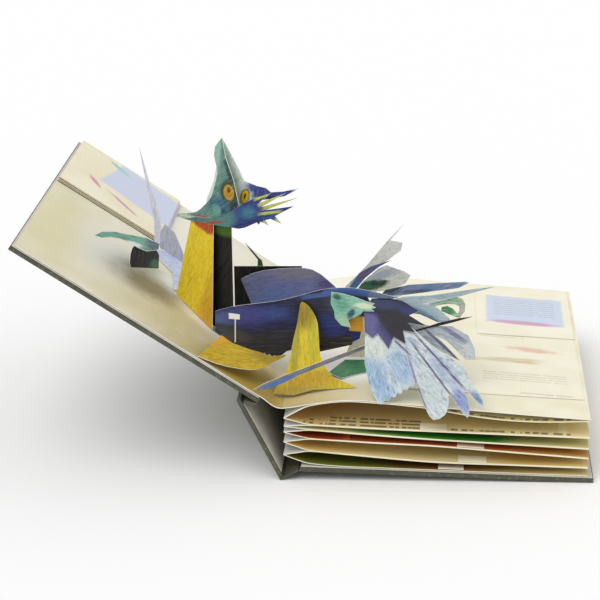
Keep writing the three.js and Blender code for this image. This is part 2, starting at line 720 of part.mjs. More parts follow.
function middleTail() {
  const blades = [
    [[8, 0], [15.4, 9.2], [31.5, 13.3], [69.1, 16.6], [71.8, 16.1], [64.8, 12.2], [27.2, 6], [10, -1]],
    [[8, -1], [28.1, 5.1], [46.1, 6.6], [76.9, 12.2], [89.4, 14], [65, 6.4], [46.3, 1.2], [27.4, 0],
      [10, -3]],
    [[8, -2], [27.4, 1.5], [48.1, 0.4], [59.2, -8.3], [60.2, -10.9], [51.2, -11.2], [39.3, -6.3], [12, -5]],
    [[16, -5], [46.8, -14.1], [61.2, -13.6], [72.2, -19.5], [77, -28.4], [77.7, -35.6], [71, -35.8],
      [57.9, -23.6], [36, -14.5]],
    [[12, -3], [36, -14.5], [45.1, -16], [56.2, -25.5], [67.4, -36.8], [52.8, -30.2], [39.8, -20.7],
      [12, -7]],
  ];
  const mesh = part('middle_tail_fan', join(blades.map((outline) => plate(outline))), paleBlue);
  mesh.applyMatrix4(midFrame);
  return mesh;
}

function darkTail() {
  const upper = [[32, -18.6], [44, -14.6], [52.1, -11.6], [65.5, -8], [75.3, -6.5]];
  const lower = [[65.6, -9.8], [55.8, -12.8], [44, -15.8], [32, -19.6]];
  const frame = outward(midFrame, featherGap + cardThickness);
  return card('dark_tail_feather', frame, [...upper, ...lower], blackCard);
}

function curledTip() {
  const outer = [[44.4, 0.5], [53, 3.9], [58.1, 5.3], [63.3, 6.2], [67.3, 5], [69.6, 1.4], [69.3, -3.4],
    [66, -7.9]];
  const end = [[62.5, -7.1], [57.6, -5.3], [53.4, -3.7], [53.6, -1.1], [57.5, -0.1], [61.4, -1.9],
    [64.4, -5.1]];
  const inner = [[65.7, -3.3], [65.6, -0.3], [63.1, 1], [58.3, 1.3], [53.1, 0.4], [44.5, -2.1]];
  const frame = outward(midFrame, -featherGap - cardThickness);
  return card('curled_tail_tip', frame, [...outer, ...end, ...inner], leafGreen);
}

const farTailFrame = acrossPages(farFlankY - featherGap - cardThickness);

function upperTail() {
  const quill = [[30, 42], [31, 46], [37.4, 54], [50, 67.9], [65.3, 88], [76.8, 101], [66.9, 88.2],
    [75.5, 86.6]];
  const blade = [[74.5, 81], [66.6, 74.3], [54.7, 67], [39.5, 54], [36, 46], [34, 42]];
  const lower = [[34, 42], [36, 46], [45.6, 52.4], [48.6, 57], [59.3, 67.2], [64.9, 69.9], [77.1, 65.9],
    [81.8, 63.1]];
  const under = [[78.3, 57], [68.2, 51.7], [59.2, 50.5], [40, 44]];
  const geometry = join([plate([...quill, ...blade]), plate([...lower, ...under])]);
  const mesh = part('upper_tail_fan', geometry, paleGrey);
  mesh.applyMatrix4(farTailFrame);
  return mesh;
}

function purpleFeather() {
  const rim = [[32, 44], [38.4, 52], [46.4, 64.1], [54.7, 69.3], [68, 74.2], [59.3, 68.5], [50.2, 60.3],
    [45.7, 54.2]];
  const frame = outward(farTailFrame, featherGap + cardThickness);
  return card('purple_tail_feather', frame, [...rim, [42, 50], [36, 42]], violet);
}

// Small pieces on the left-hand page beyond the neck

function tallFeather() {
  const outline = [standOnLeft(-99.5), [-99.4, 72.8], [-101.1, 84.4], [-108.2, 109], [-115.3, 135.3],
    [-110.1, 105.2], [-105, 79], standOnLeft(-105)];
  return card('left_tall_feather', acrossPages(150.6), outline, violet);
}

const sheetLift = 0.8;

function blueSheet() {
  const frame = cardFrame(onLeft(0, 0, sheetLift), leftAlong.clone().negate(), Y);
  const outline = [[-124, 129], [-102, 113], [-96.5, 85], [-80, 100], [-84, 150], [-99, 152.5],
    [-117, 139]];
  return card('left_blue_sheet', frame, outline, paleBlue);
}

function leftLeaf() {
  const onSheet = (x) => [x, leftHeight(x) + (sheetLift + cardThickness) / Math.cos(lift) + seat + 0.2];
  const outline = [onSheet(-83.5), [-82.4, 58], [-89, 75], [-96, 80.9], [-99.3, 74], onSheet(-99.6)];
  return card('left_grey_leaf', acrossPages(141), outline, paleGrey);
}

function darkBand() {
  const from = onLeft(132.6, 75, 0.7);
  const to = onLeft(112.8, 104.8, 0.7);
  const length = from.distanceTo(to);
  const top = curve([[length - 2, 9.6], [25.2, 15.4], [12.6, 17], [2.5, 14.8], [0, 9]], 10);
  const outline = [[3, 0], [length, 0], ...top, [0, 9], [0.6, 3]];
  return card('left_dark_band', cardFrame(from, to.clone().sub(from), Z), outline, blackCard);
}

function claw() {
  const frame = cardFrame(onLeft(0, 0, 17.1), leftAlong.clone().negate(), Y);
  const outer = [[-164.4, 47.6], [-161, 62], [-153.1, 76], [-148, 80.5], [-140.3, 89.7], [-131.4, 99.3],
    [-121.4, 102.1]];
  const inner = [[-120.8, 91.5], [-127.7, 76.8], [-134.4, 73.8], [-141.5, 73], [-148.2, 70],
    [-154.7, 61.4], [-159.1, 52.3]];
  return card('left_claw', frame, [...outer, ...inner], paleGrey);
}

// Assembly: the book group is tilted to rest on the table and centred on its own box

const boards = caseBoards();
const linings = endpapers();
const book = new THREE.Group();
book.name = 'pop_up_book';

const block = new THREE.Group();
block.add(boards.back, backHinge(), linings.back, pageBlock(), rightPage, rightLargeFlap, rightSmallFlap);
for (let k = 0; k < spreadCount; k += 1) {
  block.add(foldedPopup(k));
}
block.add(glueTab(2, 92, 18, 10), glueTab(4, 117, 18, 9), glueTab(5, 118, 19, 10), glueTab(6, 105, 17, 8));

const cover = new THREE.Group();
cover.add(boards.front, linings.front, leftPageSheet());
for (let i = 0; i < leftFlapCount; i += 1) {
  cover.add(leftFlap(i));
}
cover.rotation.y = lift;

const bird = new THREE.Group();
bird.add(neck(), nearMask(), farMask(), cheek());
bird.add(nearFlank(), slotTab(), bellyCard(), farFlank(), crossCard(), backQuill(), ruff());
bird.add(nearLeg(), farLeg(), leftFoot(), greyFeather(), greenLeaf());
bird.add(coverts(), nearTail(), middleTail(), darkTail(), curledTip(), upperTail(), purpleFeather());
bird.add(tallFeather(), blueSheet(), leftLeaf(), darkBand(), claw());

book.add(block, cover, frontHinge(), spine(), bird);
book.rotation.y = restTilt;

const group = new THREE.Group();
group.add(book);
group.updateMatrixWorld(true);
const box = new THREE.Box3().setFromObject(group, true);
const middle = box.getCenter(new THREE.Vector3());
book.position.set(-middle.x, -middle.y, -box.min.z);
group.updateMatrixWorld(true);

export default group;
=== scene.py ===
"""Dresses the open pop-up book: its case, its stacked pages and the folded-card bird across the gutter."""

import json
import logging
import math
from dataclasses import dataclass, field
from enum import Enum

import bmesh
import bpy
import numpy as np
from mathutils import Matrix, Vector


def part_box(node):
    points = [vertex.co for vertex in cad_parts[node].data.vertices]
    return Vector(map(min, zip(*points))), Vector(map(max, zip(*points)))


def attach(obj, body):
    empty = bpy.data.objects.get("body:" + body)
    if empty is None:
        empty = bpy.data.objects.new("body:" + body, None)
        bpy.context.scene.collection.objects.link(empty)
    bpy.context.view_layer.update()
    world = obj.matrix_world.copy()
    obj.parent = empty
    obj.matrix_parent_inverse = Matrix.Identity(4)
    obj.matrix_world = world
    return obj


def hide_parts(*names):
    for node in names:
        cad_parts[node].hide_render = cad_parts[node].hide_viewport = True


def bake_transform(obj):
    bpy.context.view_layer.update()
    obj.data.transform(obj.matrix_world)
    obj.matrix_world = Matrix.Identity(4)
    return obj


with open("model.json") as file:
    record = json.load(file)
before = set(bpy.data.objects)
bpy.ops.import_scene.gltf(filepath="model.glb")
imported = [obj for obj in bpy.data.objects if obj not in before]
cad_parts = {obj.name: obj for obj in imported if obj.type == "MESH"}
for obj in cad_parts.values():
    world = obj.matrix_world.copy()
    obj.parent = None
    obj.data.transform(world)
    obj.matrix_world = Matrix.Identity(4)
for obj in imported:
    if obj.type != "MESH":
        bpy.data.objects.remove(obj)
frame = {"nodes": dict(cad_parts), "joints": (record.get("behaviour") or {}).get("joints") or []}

LOG = logging.getLogger("pop_up_book")
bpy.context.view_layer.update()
MM = 0.001
BLOCK = "book_block"
COVER = "front_cover"
REST_TILT = math.radians(1.98)
COVER_ANGLE = math.radians(31.8)
LEAF = 0.6
SPREAD_WIDTH = 204.0
BAR_HEIGHT = 3.0

Colour = tuple[float, float, float]
Triple = tuple[float, float, float]
Pair = tuple[float, float]
Ramp = tuple[tuple[float, str], ...]


def rgb(code: str) -> Colour:
    """The linear colour of an sRGB hex code such as "e0b81f"."""
    parts = [int(code[i:i + 2], 16) / 255 for i in (0, 2, 4)]
    return tuple(c / 12.92 if c <= 0.04045 else ((c + 0.055) / 1.055) ** 2.4 for c in parts)


def mesh_points(mesh: bpy.types.Mesh) -> np.ndarray:
    """A mesh's vertices as an array of points."""
    co = np.zeros(len(mesh.vertices) * 3)
    mesh.vertices.foreach_get("co", co)
    return co.reshape(-1, 3)


def face_values(mesh: bpy.types.Mesh, name: str, width: int) -> np.ndarray:
    """One property of every face of a mesh as an array of rows."""
    values = np.zeros(len(mesh.polygons) * width)
    mesh.polygons.foreach_get(name, values)
    return values.reshape(-1, width)


@dataclass
class BookPlace:
    """Where the book's own axes lie in the row frame.

    In the book's axes the crease runs along Y through the origin, X runs along the right-hand page and
    Z stands square on it, in millimetres.
    """

    crease: Vector = field(default_factory=lambda: Vector(
        next(j for j in frame["joints"] if j["name"] == "cover_fold")["pos_m"]))
    near: float = field(default_factory=lambda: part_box("right_page")[0].y)
    tilt: float = REST_TILT

    def turned(self, x: float, y: float, z: float) -> Vector:
        """The row-frame direction of a direction in the book's axes."""
        c, s = math.cos(self.tilt), math.sin(self.tilt)
        return Vector((x * c + z * s, y, z * c - x * s))

    def point(self, x: float, y: float, z: float) -> Vector:
        """The row-frame place, in metres, of a point in the book's axes in millimetres."""
        return Vector((self.crease.x, self.near, self.crease.z)) + self.turned(x, y, z) * MM

    def book(self, points: np.ndarray) -> np.ndarray:
        """Row-frame points in metres as points in the book's axes in millimetres."""
        c, s = math.cos(self.tilt), math.sin(self.tilt)
        x = (points[:, 0] - self.crease.x) / MM
        z = (points[:, 2] - self.crease.z) / MM
        return np.column_stack((x * c - z * s, (points[:, 1] - self.near) / MM, z * c + x * s))


PLACE = BookPlace()
LEFT_ALONG = Vector((-math.cos(COVER_ANGLE), 0.0, math.sin(COVER_ANGLE)))
LEFT_UP = Vector((math.sin(COVER_ANGLE), 0.0, math.cos(COVER_ANGLE)))


def on_left(along: float, y: float, height: float = 0.0) -> Vector:
    """A point over the left-hand page, in the book's axes.

    Args:
        along: distance from the crease along the page.
        y: distance from the near edge.
        height: distance above the page.

    Returns:
        The point, in millimetres.
    """
    return LEFT_ALONG * along + LEFT_UP * (height - 1.0) + Vector((0.0, y, 0.0))


class Shader:
    """A short way to write a material's node tree."""

    def __init__(self, name: str) -> None:
        """Starts an empty material with a Principled shader."""
        self.material = bpy.data.materials.new(name)
        self.material.use_nodes = True
        self.tree = self.material.node_tree
        self.surface = self.tree.nodes["Principled BSDF"]

    def add(self, kind: str, inputs: dict | None = None, **settings: object) -> bpy.types.Node:
        """Adds a node, sets its properties and its inputs.

        Args:
            kind: the node type's name without its ShaderNode prefix.
            inputs: socket name or index to a value, or to an output socket to link.
            settings: properties of the node.

        Returns:
            The new node.
        """
        node = self.tree.nodes.new("ShaderNode" + kind)
        for name, value in settings.items():
            setattr(node, name, value)
        for key, value in (inputs or {}).items():
            self.feed(node.inputs[key], value)
        return node

    def feed(self, socket: bpy.types.NodeSocket, value: object) -> None:
        """Links an output to a socket, or sets the socket's own value."""
        if isinstance(value, bpy.types.NodeSocket):
            self.tree.links.new(value, socket)
        else:
            socket.default_value = value

    def math(self, operation: str, a: object, b: object = 0.0, clamp: bool = False) -> bpy.types.NodeSocket:
        """One arithmetic step on two numbers or sockets."""
        return self.add("Math", {0: a, 1: b}, operation=operation, use_clamp=clamp).outputs[0]

    def rise(self, value: object, low: float, high: float) -> bpy.types.NodeSocket:
        """A smooth step from 0 at the low value to 1 at the high one."""
        return self.add("MapRange", {0: value, 1: low, 2: high}, interpolation_type="SMOOTHSTEP").outputs[0]

    def mix(self, share: object, a: object, b: object, blend: str = "MIX") -> bpy.types.NodeSocket:
        """Mixes two colours, each a socket or a linear colour."""
        node = self.add("Mix", data_type="RGBA", blend_type=blend)
        for index, value in ((0, share), (6, a), (7, b)):
            self.feed(node.inputs[index], (*value, 1.0) if isinstance(value, tuple) else value)
        return node.outputs[2]

    def ramp(self, share: bpy.types.NodeSocket, stops: Ramp) -> bpy.types.NodeSocket:
        """A colour ramp of sRGB hex codes."""
        node = self.add("ValToRGB", {0: share})
        elements = node.color_ramp.elements
        while len(elements) < len(stops):
            elements.new(0.5)
        for element, (place, code) in zip(elements, stops):
            element.position = place
            element.color = (*rgb(code), 1.0)
        return node.outputs[0]

    def sheet_map(self, name: str) -> bpy.types.NodeSocket:
        """The named UV map, in centimetres of the sheet."""
        return self.add("UVMap", uv_map=name).outputs[0]

    def row_place(self) -> bpy.types.NodeSocket:
        """The Object coordinates."""
        return self.add("TexCoord").outputs["Object"]

    def scaled(self, vector: bpy.types.NodeSocket, scale: Triple, turn: float = 0.0) -> bpy.types.NodeSocket:
        """A vector turned about Z by an angle in degrees, then scaled."""
        turned = self.add("Mapping", {0: vector, "Rotation": (0.0, 0.0, -math.radians(turn))})
        return self.add("Mapping", {0: turned.outputs[0], "Scale": scale}).outputs[0]

    def noise(self, vector: bpy.types.NodeSocket, scale: float, detail: float = 4.0,
              distortion: float = 0.0) -> bpy.types.NodeSocket:
        """A noise value at a vector."""
        node = self.add("TexNoise", {"Vector": vector, "Scale": scale, "Detail": detail,
                                     "Distortion": distortion})
        return node.outputs[0]

    def finish(self, colour: object, roughness: float, bump: object = None,
               height: float = 0.0001, gloss: float = 0.25) -> bpy.types.Material:
        """Sets the shader's colour, roughness and surface relief.

        Args:
            colour: a socket, or a linear colour.
            roughness: the surface's roughness.
            bump: the height of the relief, a socket.
            height: the relief's depth in metres.
            gloss: the specular level.

        Returns:
            The material.
        """
        self.feed(self.surface.inputs["Base Color"], (*colour, 1.0) if isinstance(colour, tuple) else colour)
        self.surface.inputs["Roughness"].default_value = roughness
        self.surface.inputs["Specular IOR Level"].default_value = gloss
        if bump is not None:
            relief = self.add("Bump", {"Height": bump, "Distance": height, "Strength": 0.6})
            self.feed(self.surface.inputs["Normal"], relief.outputs[0])
        return self.material


class Outline(Enum):
    """The shape of a printed field."""

    ROUND = "round"
    SQUARE = "square"


@dataclass(frozen=True)
class Patch:
    """One field of printed colour on a sheet, in centimetres of the sheet's own plane."""

    centre: Pair
    half: Pair
    colour: str
    turn: float = 0.0
    soft: float = 0.35
    ragged: float = 0.35
    outline: Outline = Outline.ROUND
    strength: float = 1.0

    def over(self, shader: Shader, plane: bpy.types.NodeSocket, edge_noise: bpy.types.NodeSocket,
             below: bpy.types.NodeSocket) -> bpy.types.NodeSocket:
        """Lays the field over a colour.

        Args:
            shader: the material being written.
            plane: the place on the sheet.
            edge_noise: a noise value that makes the field's edge ragged.
            below: the colour under the field.

        Returns:
            The mixed colour.
        """
        place = shader.add("Mapping", {
            0: plane, 1: (*self.centre, 0.0), 2: (0.0, 0.0, math.radians(self.turn)), 3: (*self.half, 1.0),
        }, vector_type="TEXTURE").outputs[0]
        if self.outline is Outline.ROUND:
            flat = shader.add("VectorMath", {0: place, 1: (1.0, 1.0, 0.0)}, operation="MULTIPLY").outputs[0]
            reach = shader.add("VectorMath", {0: flat}, operation="LENGTH").outputs["Value"]
        else:
            size = shader.add("VectorMath", {0: place}, operation="ABSOLUTE").outputs[0]
            axes = shader.add("SeparateXYZ", {0: size})
            reach = shader.math("MAXIMUM", axes.outputs[0], axes.outputs[1])
        worn = shader.add("Math", {0: edge_noise, 1: self.ragged, 2: reach}, operation="MULTIPLY_ADD").outputs[0]
        share = shader.rise(worn, 1.0 + self.soft, 1.0 - self.soft)
        return shader.mix(shader.math("MULTIPLY", share, self.strength), below, rgb(self.colour))


def stroke(start: Pair, end: Pair, half: float, colour: str, strength: float = 0.85) -> Patch:
    """A painted line between two places on a sheet, in millimetres of the sheet's plane."""
    run = (end[0] - start[0], end[1] - start[1])
    middle = ((start[0] + end[0]) / 20, (start[1] + end[1]) / 20)
    return Patch(middle, (math.hypot(*run) / 20, half / 10), colour, math.degrees(math.atan2(run[1], run[0])),
                 0.3, 0.5, Outline.SQUARE, strength)


@dataclass(frozen=True)
class Print:
    """Painted card: brushed colours, streaks along the strokes, and fields of other colours over them.

    The strokes follow the sheet's plane, or a fan's feathers where fan is set.
    """

    name: str
    colours: Ramp
    patches: tuple[Patch, ...] = ()
    turn: float = 90.0
    stroke: Pair = (0.45, 2.2)
    streak: str = "ffffff"
    streaks: float = 0.25
    pooling: float = 0.4
    fan: bool = False
    roughness: float = 0.5

    def colour(self, shader: Shader) -> bpy.types.NodeSocket:
        """The painted colour over the sheet."""
        plane = shader.sheet_map("print")
        path = shader.sheet_map("fan") if self.fan else plane
        brushed = shader.scaled(path, (self.stroke[0], self.stroke[1], 1.0), self.turn)
        colour = shader.ramp(shader.noise(brushed, 1.6, 5.0, 0.8), self.colours)
        edge = shader.math("SUBTRACT", shader.noise(plane, 2.6, 3.0, 0.6), 0.5)
        for patch in self.patches:
            colour = patch.over(shader, plane, edge, colour)
        pooled = shader.rise(shader.noise(shader.scaled(brushed, (2.2, 2.2, 1.0)), 1.9, 5.0, 1.2), 0.45, 0.7)
        darker = shader.mix(1.0, colour, rgb("9a9a9e"), "MULTIPLY")
        colour = shader.mix(shader.math("MULTIPLY", pooled, self.pooling), colour, darker)
        hairs = (11.0, 0.45, 1.0) if self.fan else (0.5, 9.0, 1.0)
        fine = shader.noise(shader.scaled(path, hairs, self.turn), 1.5, 4.0, 0.5)
        lines = shader.math("MULTIPLY", shader.rise(fine, 0.5, 0.75), self.streaks)
        return shader.mix(lines, colour, rgb(self.streak))

    def make(self) -> bpy.types.Material:
        """The finished material."""
        shader = Shader(self.name)
        grain = shader.noise(shader.row_place(), 1500.0, 2.0)
        return shader.finish(self.colour(shader), self.roughness, grain, 0.00004)


@dataclass(frozen=True)
class PlainPaper:
    """Plain or lightly mottled paper or card, over Object coordinates."""

    name: str
    colour: str
    shade: str
    grain: float = 60.0
    roughness: float = 0.7
    relief: float = 0.00005

    def make(self) -> bpy.types.Material:
        """The finished material."""
        shader = Shader(self.name)
        place = shader.row_place()
        share = shader.rise(shader.noise(place, self.grain, 3.0), 0.3, 0.7)
        fine = shader.noise(place, self.grain * 25, 2.0)
        return shader.finish(shader.mix(share, rgb(self.colour), rgb(self.shade)), self.roughness, fine, self.relief)


@dataclass(frozen=True)
class SpreadPrint:
    """The inside of a closed spread: colours from the fold to the fore-edge, worn into one another."""

    name: str
    colours: Ramp
    bars: tuple[Triple, ...] = ()
    ink: str = "4a3a22"

    def make(self) -> bpy.types.Material:
        """The finished material. Bars are rows of dark print: x from, x to, y, in millimetres."""
        shader = Shader(self.name)
        place = shader.row_place()
        axes = shader.add("SeparateXYZ", {0: place})
        along = shader.math("DIVIDE", shader.math("SUBTRACT", axes.outputs[0], PLACE.crease.x), SPREAD_WIDTH * MM)
        mottle = shader.math("SUBTRACT", shader.noise(place, 22.0, 4.0, 0.6), 0.5)
        share = shader.add("Math", {0: mottle, 1: 0.3, 2: along}, operation="MULTIPLY_ADD").outputs[0]
        colour = shader.ramp(share, self.colours)
        word = shader.rise(shader.noise(shader.scaled(place, (300.0, 40.0, 1.0)), 1.0, 1.0), 0.42, 0.5)
        for left, right, row in self.bars:
            ink = word
            for value, low, high in ((axes.outputs[0], PLACE.crease.x + left * MM, PLACE.crease.x + right * MM),
                                     (axes.outputs[1], PLACE.near + row * MM, PLACE.near + (row + BAR_HEIGHT) * MM)):
                inside = shader.math("MULTIPLY", shader.math("GREATER_THAN", value, low),
                                     shader.math("LESS_THAN", value, high))
                ink = shader.math("MULTIPLY", ink, inside)
            colour = shader.mix(shader.math("MULTIPLY", ink, 0.75), colour, rgb(self.ink))
        grain = shader.noise(place, 1300.0, 3.0)
        return shader.finish(colour, 0.7, grain, 0.00004)


@dataclass(frozen=True)
class BoardCloth:
    """Dark laminated cloth of the case: a fine weave, paler rubbed threads and a matt face."""

    name: str
    thread: str
    shade: str
    rubbed: str
    pitch: float = 1700.0

    def make(self) -> bpy.types.Material:
        """The finished material."""
        shader = Shader(self.name)
        place = shader.row_place()
        warp = shader.add("TexWave", {"Vector": place, "Scale": self.pitch / 6.3, "Distortion": 1.5},
                          bands_direction="Y").outputs[1]
        weft = shader.add("TexWave", {"Vector": place, "Scale": self.pitch / 6.3, "Distortion": 1.5},
                          bands_direction="X").outputs[1]
        weave = shader.math("MULTIPLY", warp, weft)
        mottled = shader.mix(shader.noise(place, 120.0, 4.0), rgb(self.thread), rgb(self.shade))
        rub = shader.math("MULTIPLY", shader.rise(shader.noise(place, 420.0, 5.0), 0.56, 0.75), 0.55)
        return shader.finish(shader.mix(rub, mottled, rgb(self.rubbed)), 0.62, weave, 0.00008, 0.2)


@dataclass(frozen=True)
class PagePrint:
    """An open page: cream paper that yellows to the gutter, with fields of colour on it."""

    name: str
    paper: str = "f2ead0"
    shade: str = "e9dfbb"
    patches: tuple[Patch, ...] = ()
    bars: tuple[tuple[float, float, float, float, float], ...] = ()

    def make(self) -> bpy.types.Material:
        """The finished material. Bars are rows of grey print: x from, x to, y from, y to, pitch."""
        shader = Shader(self.name)
        plane = shader.sheet_map("print")
        soft = shader.rise(shader.noise(plane, 0.35, 3.0), 0.3, 0.7)
        colour = shader.mix(soft, rgb(self.paper), rgb(self.shade))
        edge = shader.math("SUBTRACT", shader.noise(plane, 1.3, 4.0, 0.8), 0.5)
        for patch in self.patches:
            colour = patch.over(shader, plane, edge, colour)
        axes = shader.add("SeparateXYZ", {0: plane})
        for left, right, low, high, pitch in self.bars:
            inside = [shader.rise(axes.outputs[0], left, left + 0.02), shader.rise(axes.outputs[0], right, right - 0.02),
                      shader.rise(axes.outputs[1], low, low + 0.02), shader.rise(axes.outputs[1], high, high - 0.02)]
            rows = shader.math("PINGPONG", shader.math("SUBTRACT", axes.outputs[1], low), pitch / 2)
            word = shader.noise(shader.scaled(plane, (3.0, 1.0 / pitch, 1.0)), 1.0, 1.0)
            ink = shader.math("MULTIPLY", shader.rise(rows, pitch * 0.28, pitch * 0.34), shader.rise(word, 0.36, 0.42))
            for limit in inside:
                ink = shader.math("MULTIPLY", ink, limit)
            colour = shader.mix(shader.math("MULTIPLY", ink, 0.3), colour, rgb("8d8a84"))
        grain = shader.noise(shader.row_place(), 1300.0, 3.0)
        return shader.finish(colour, 0.62, grain, 0.00004)


SQUARE = Outline.SQUARE


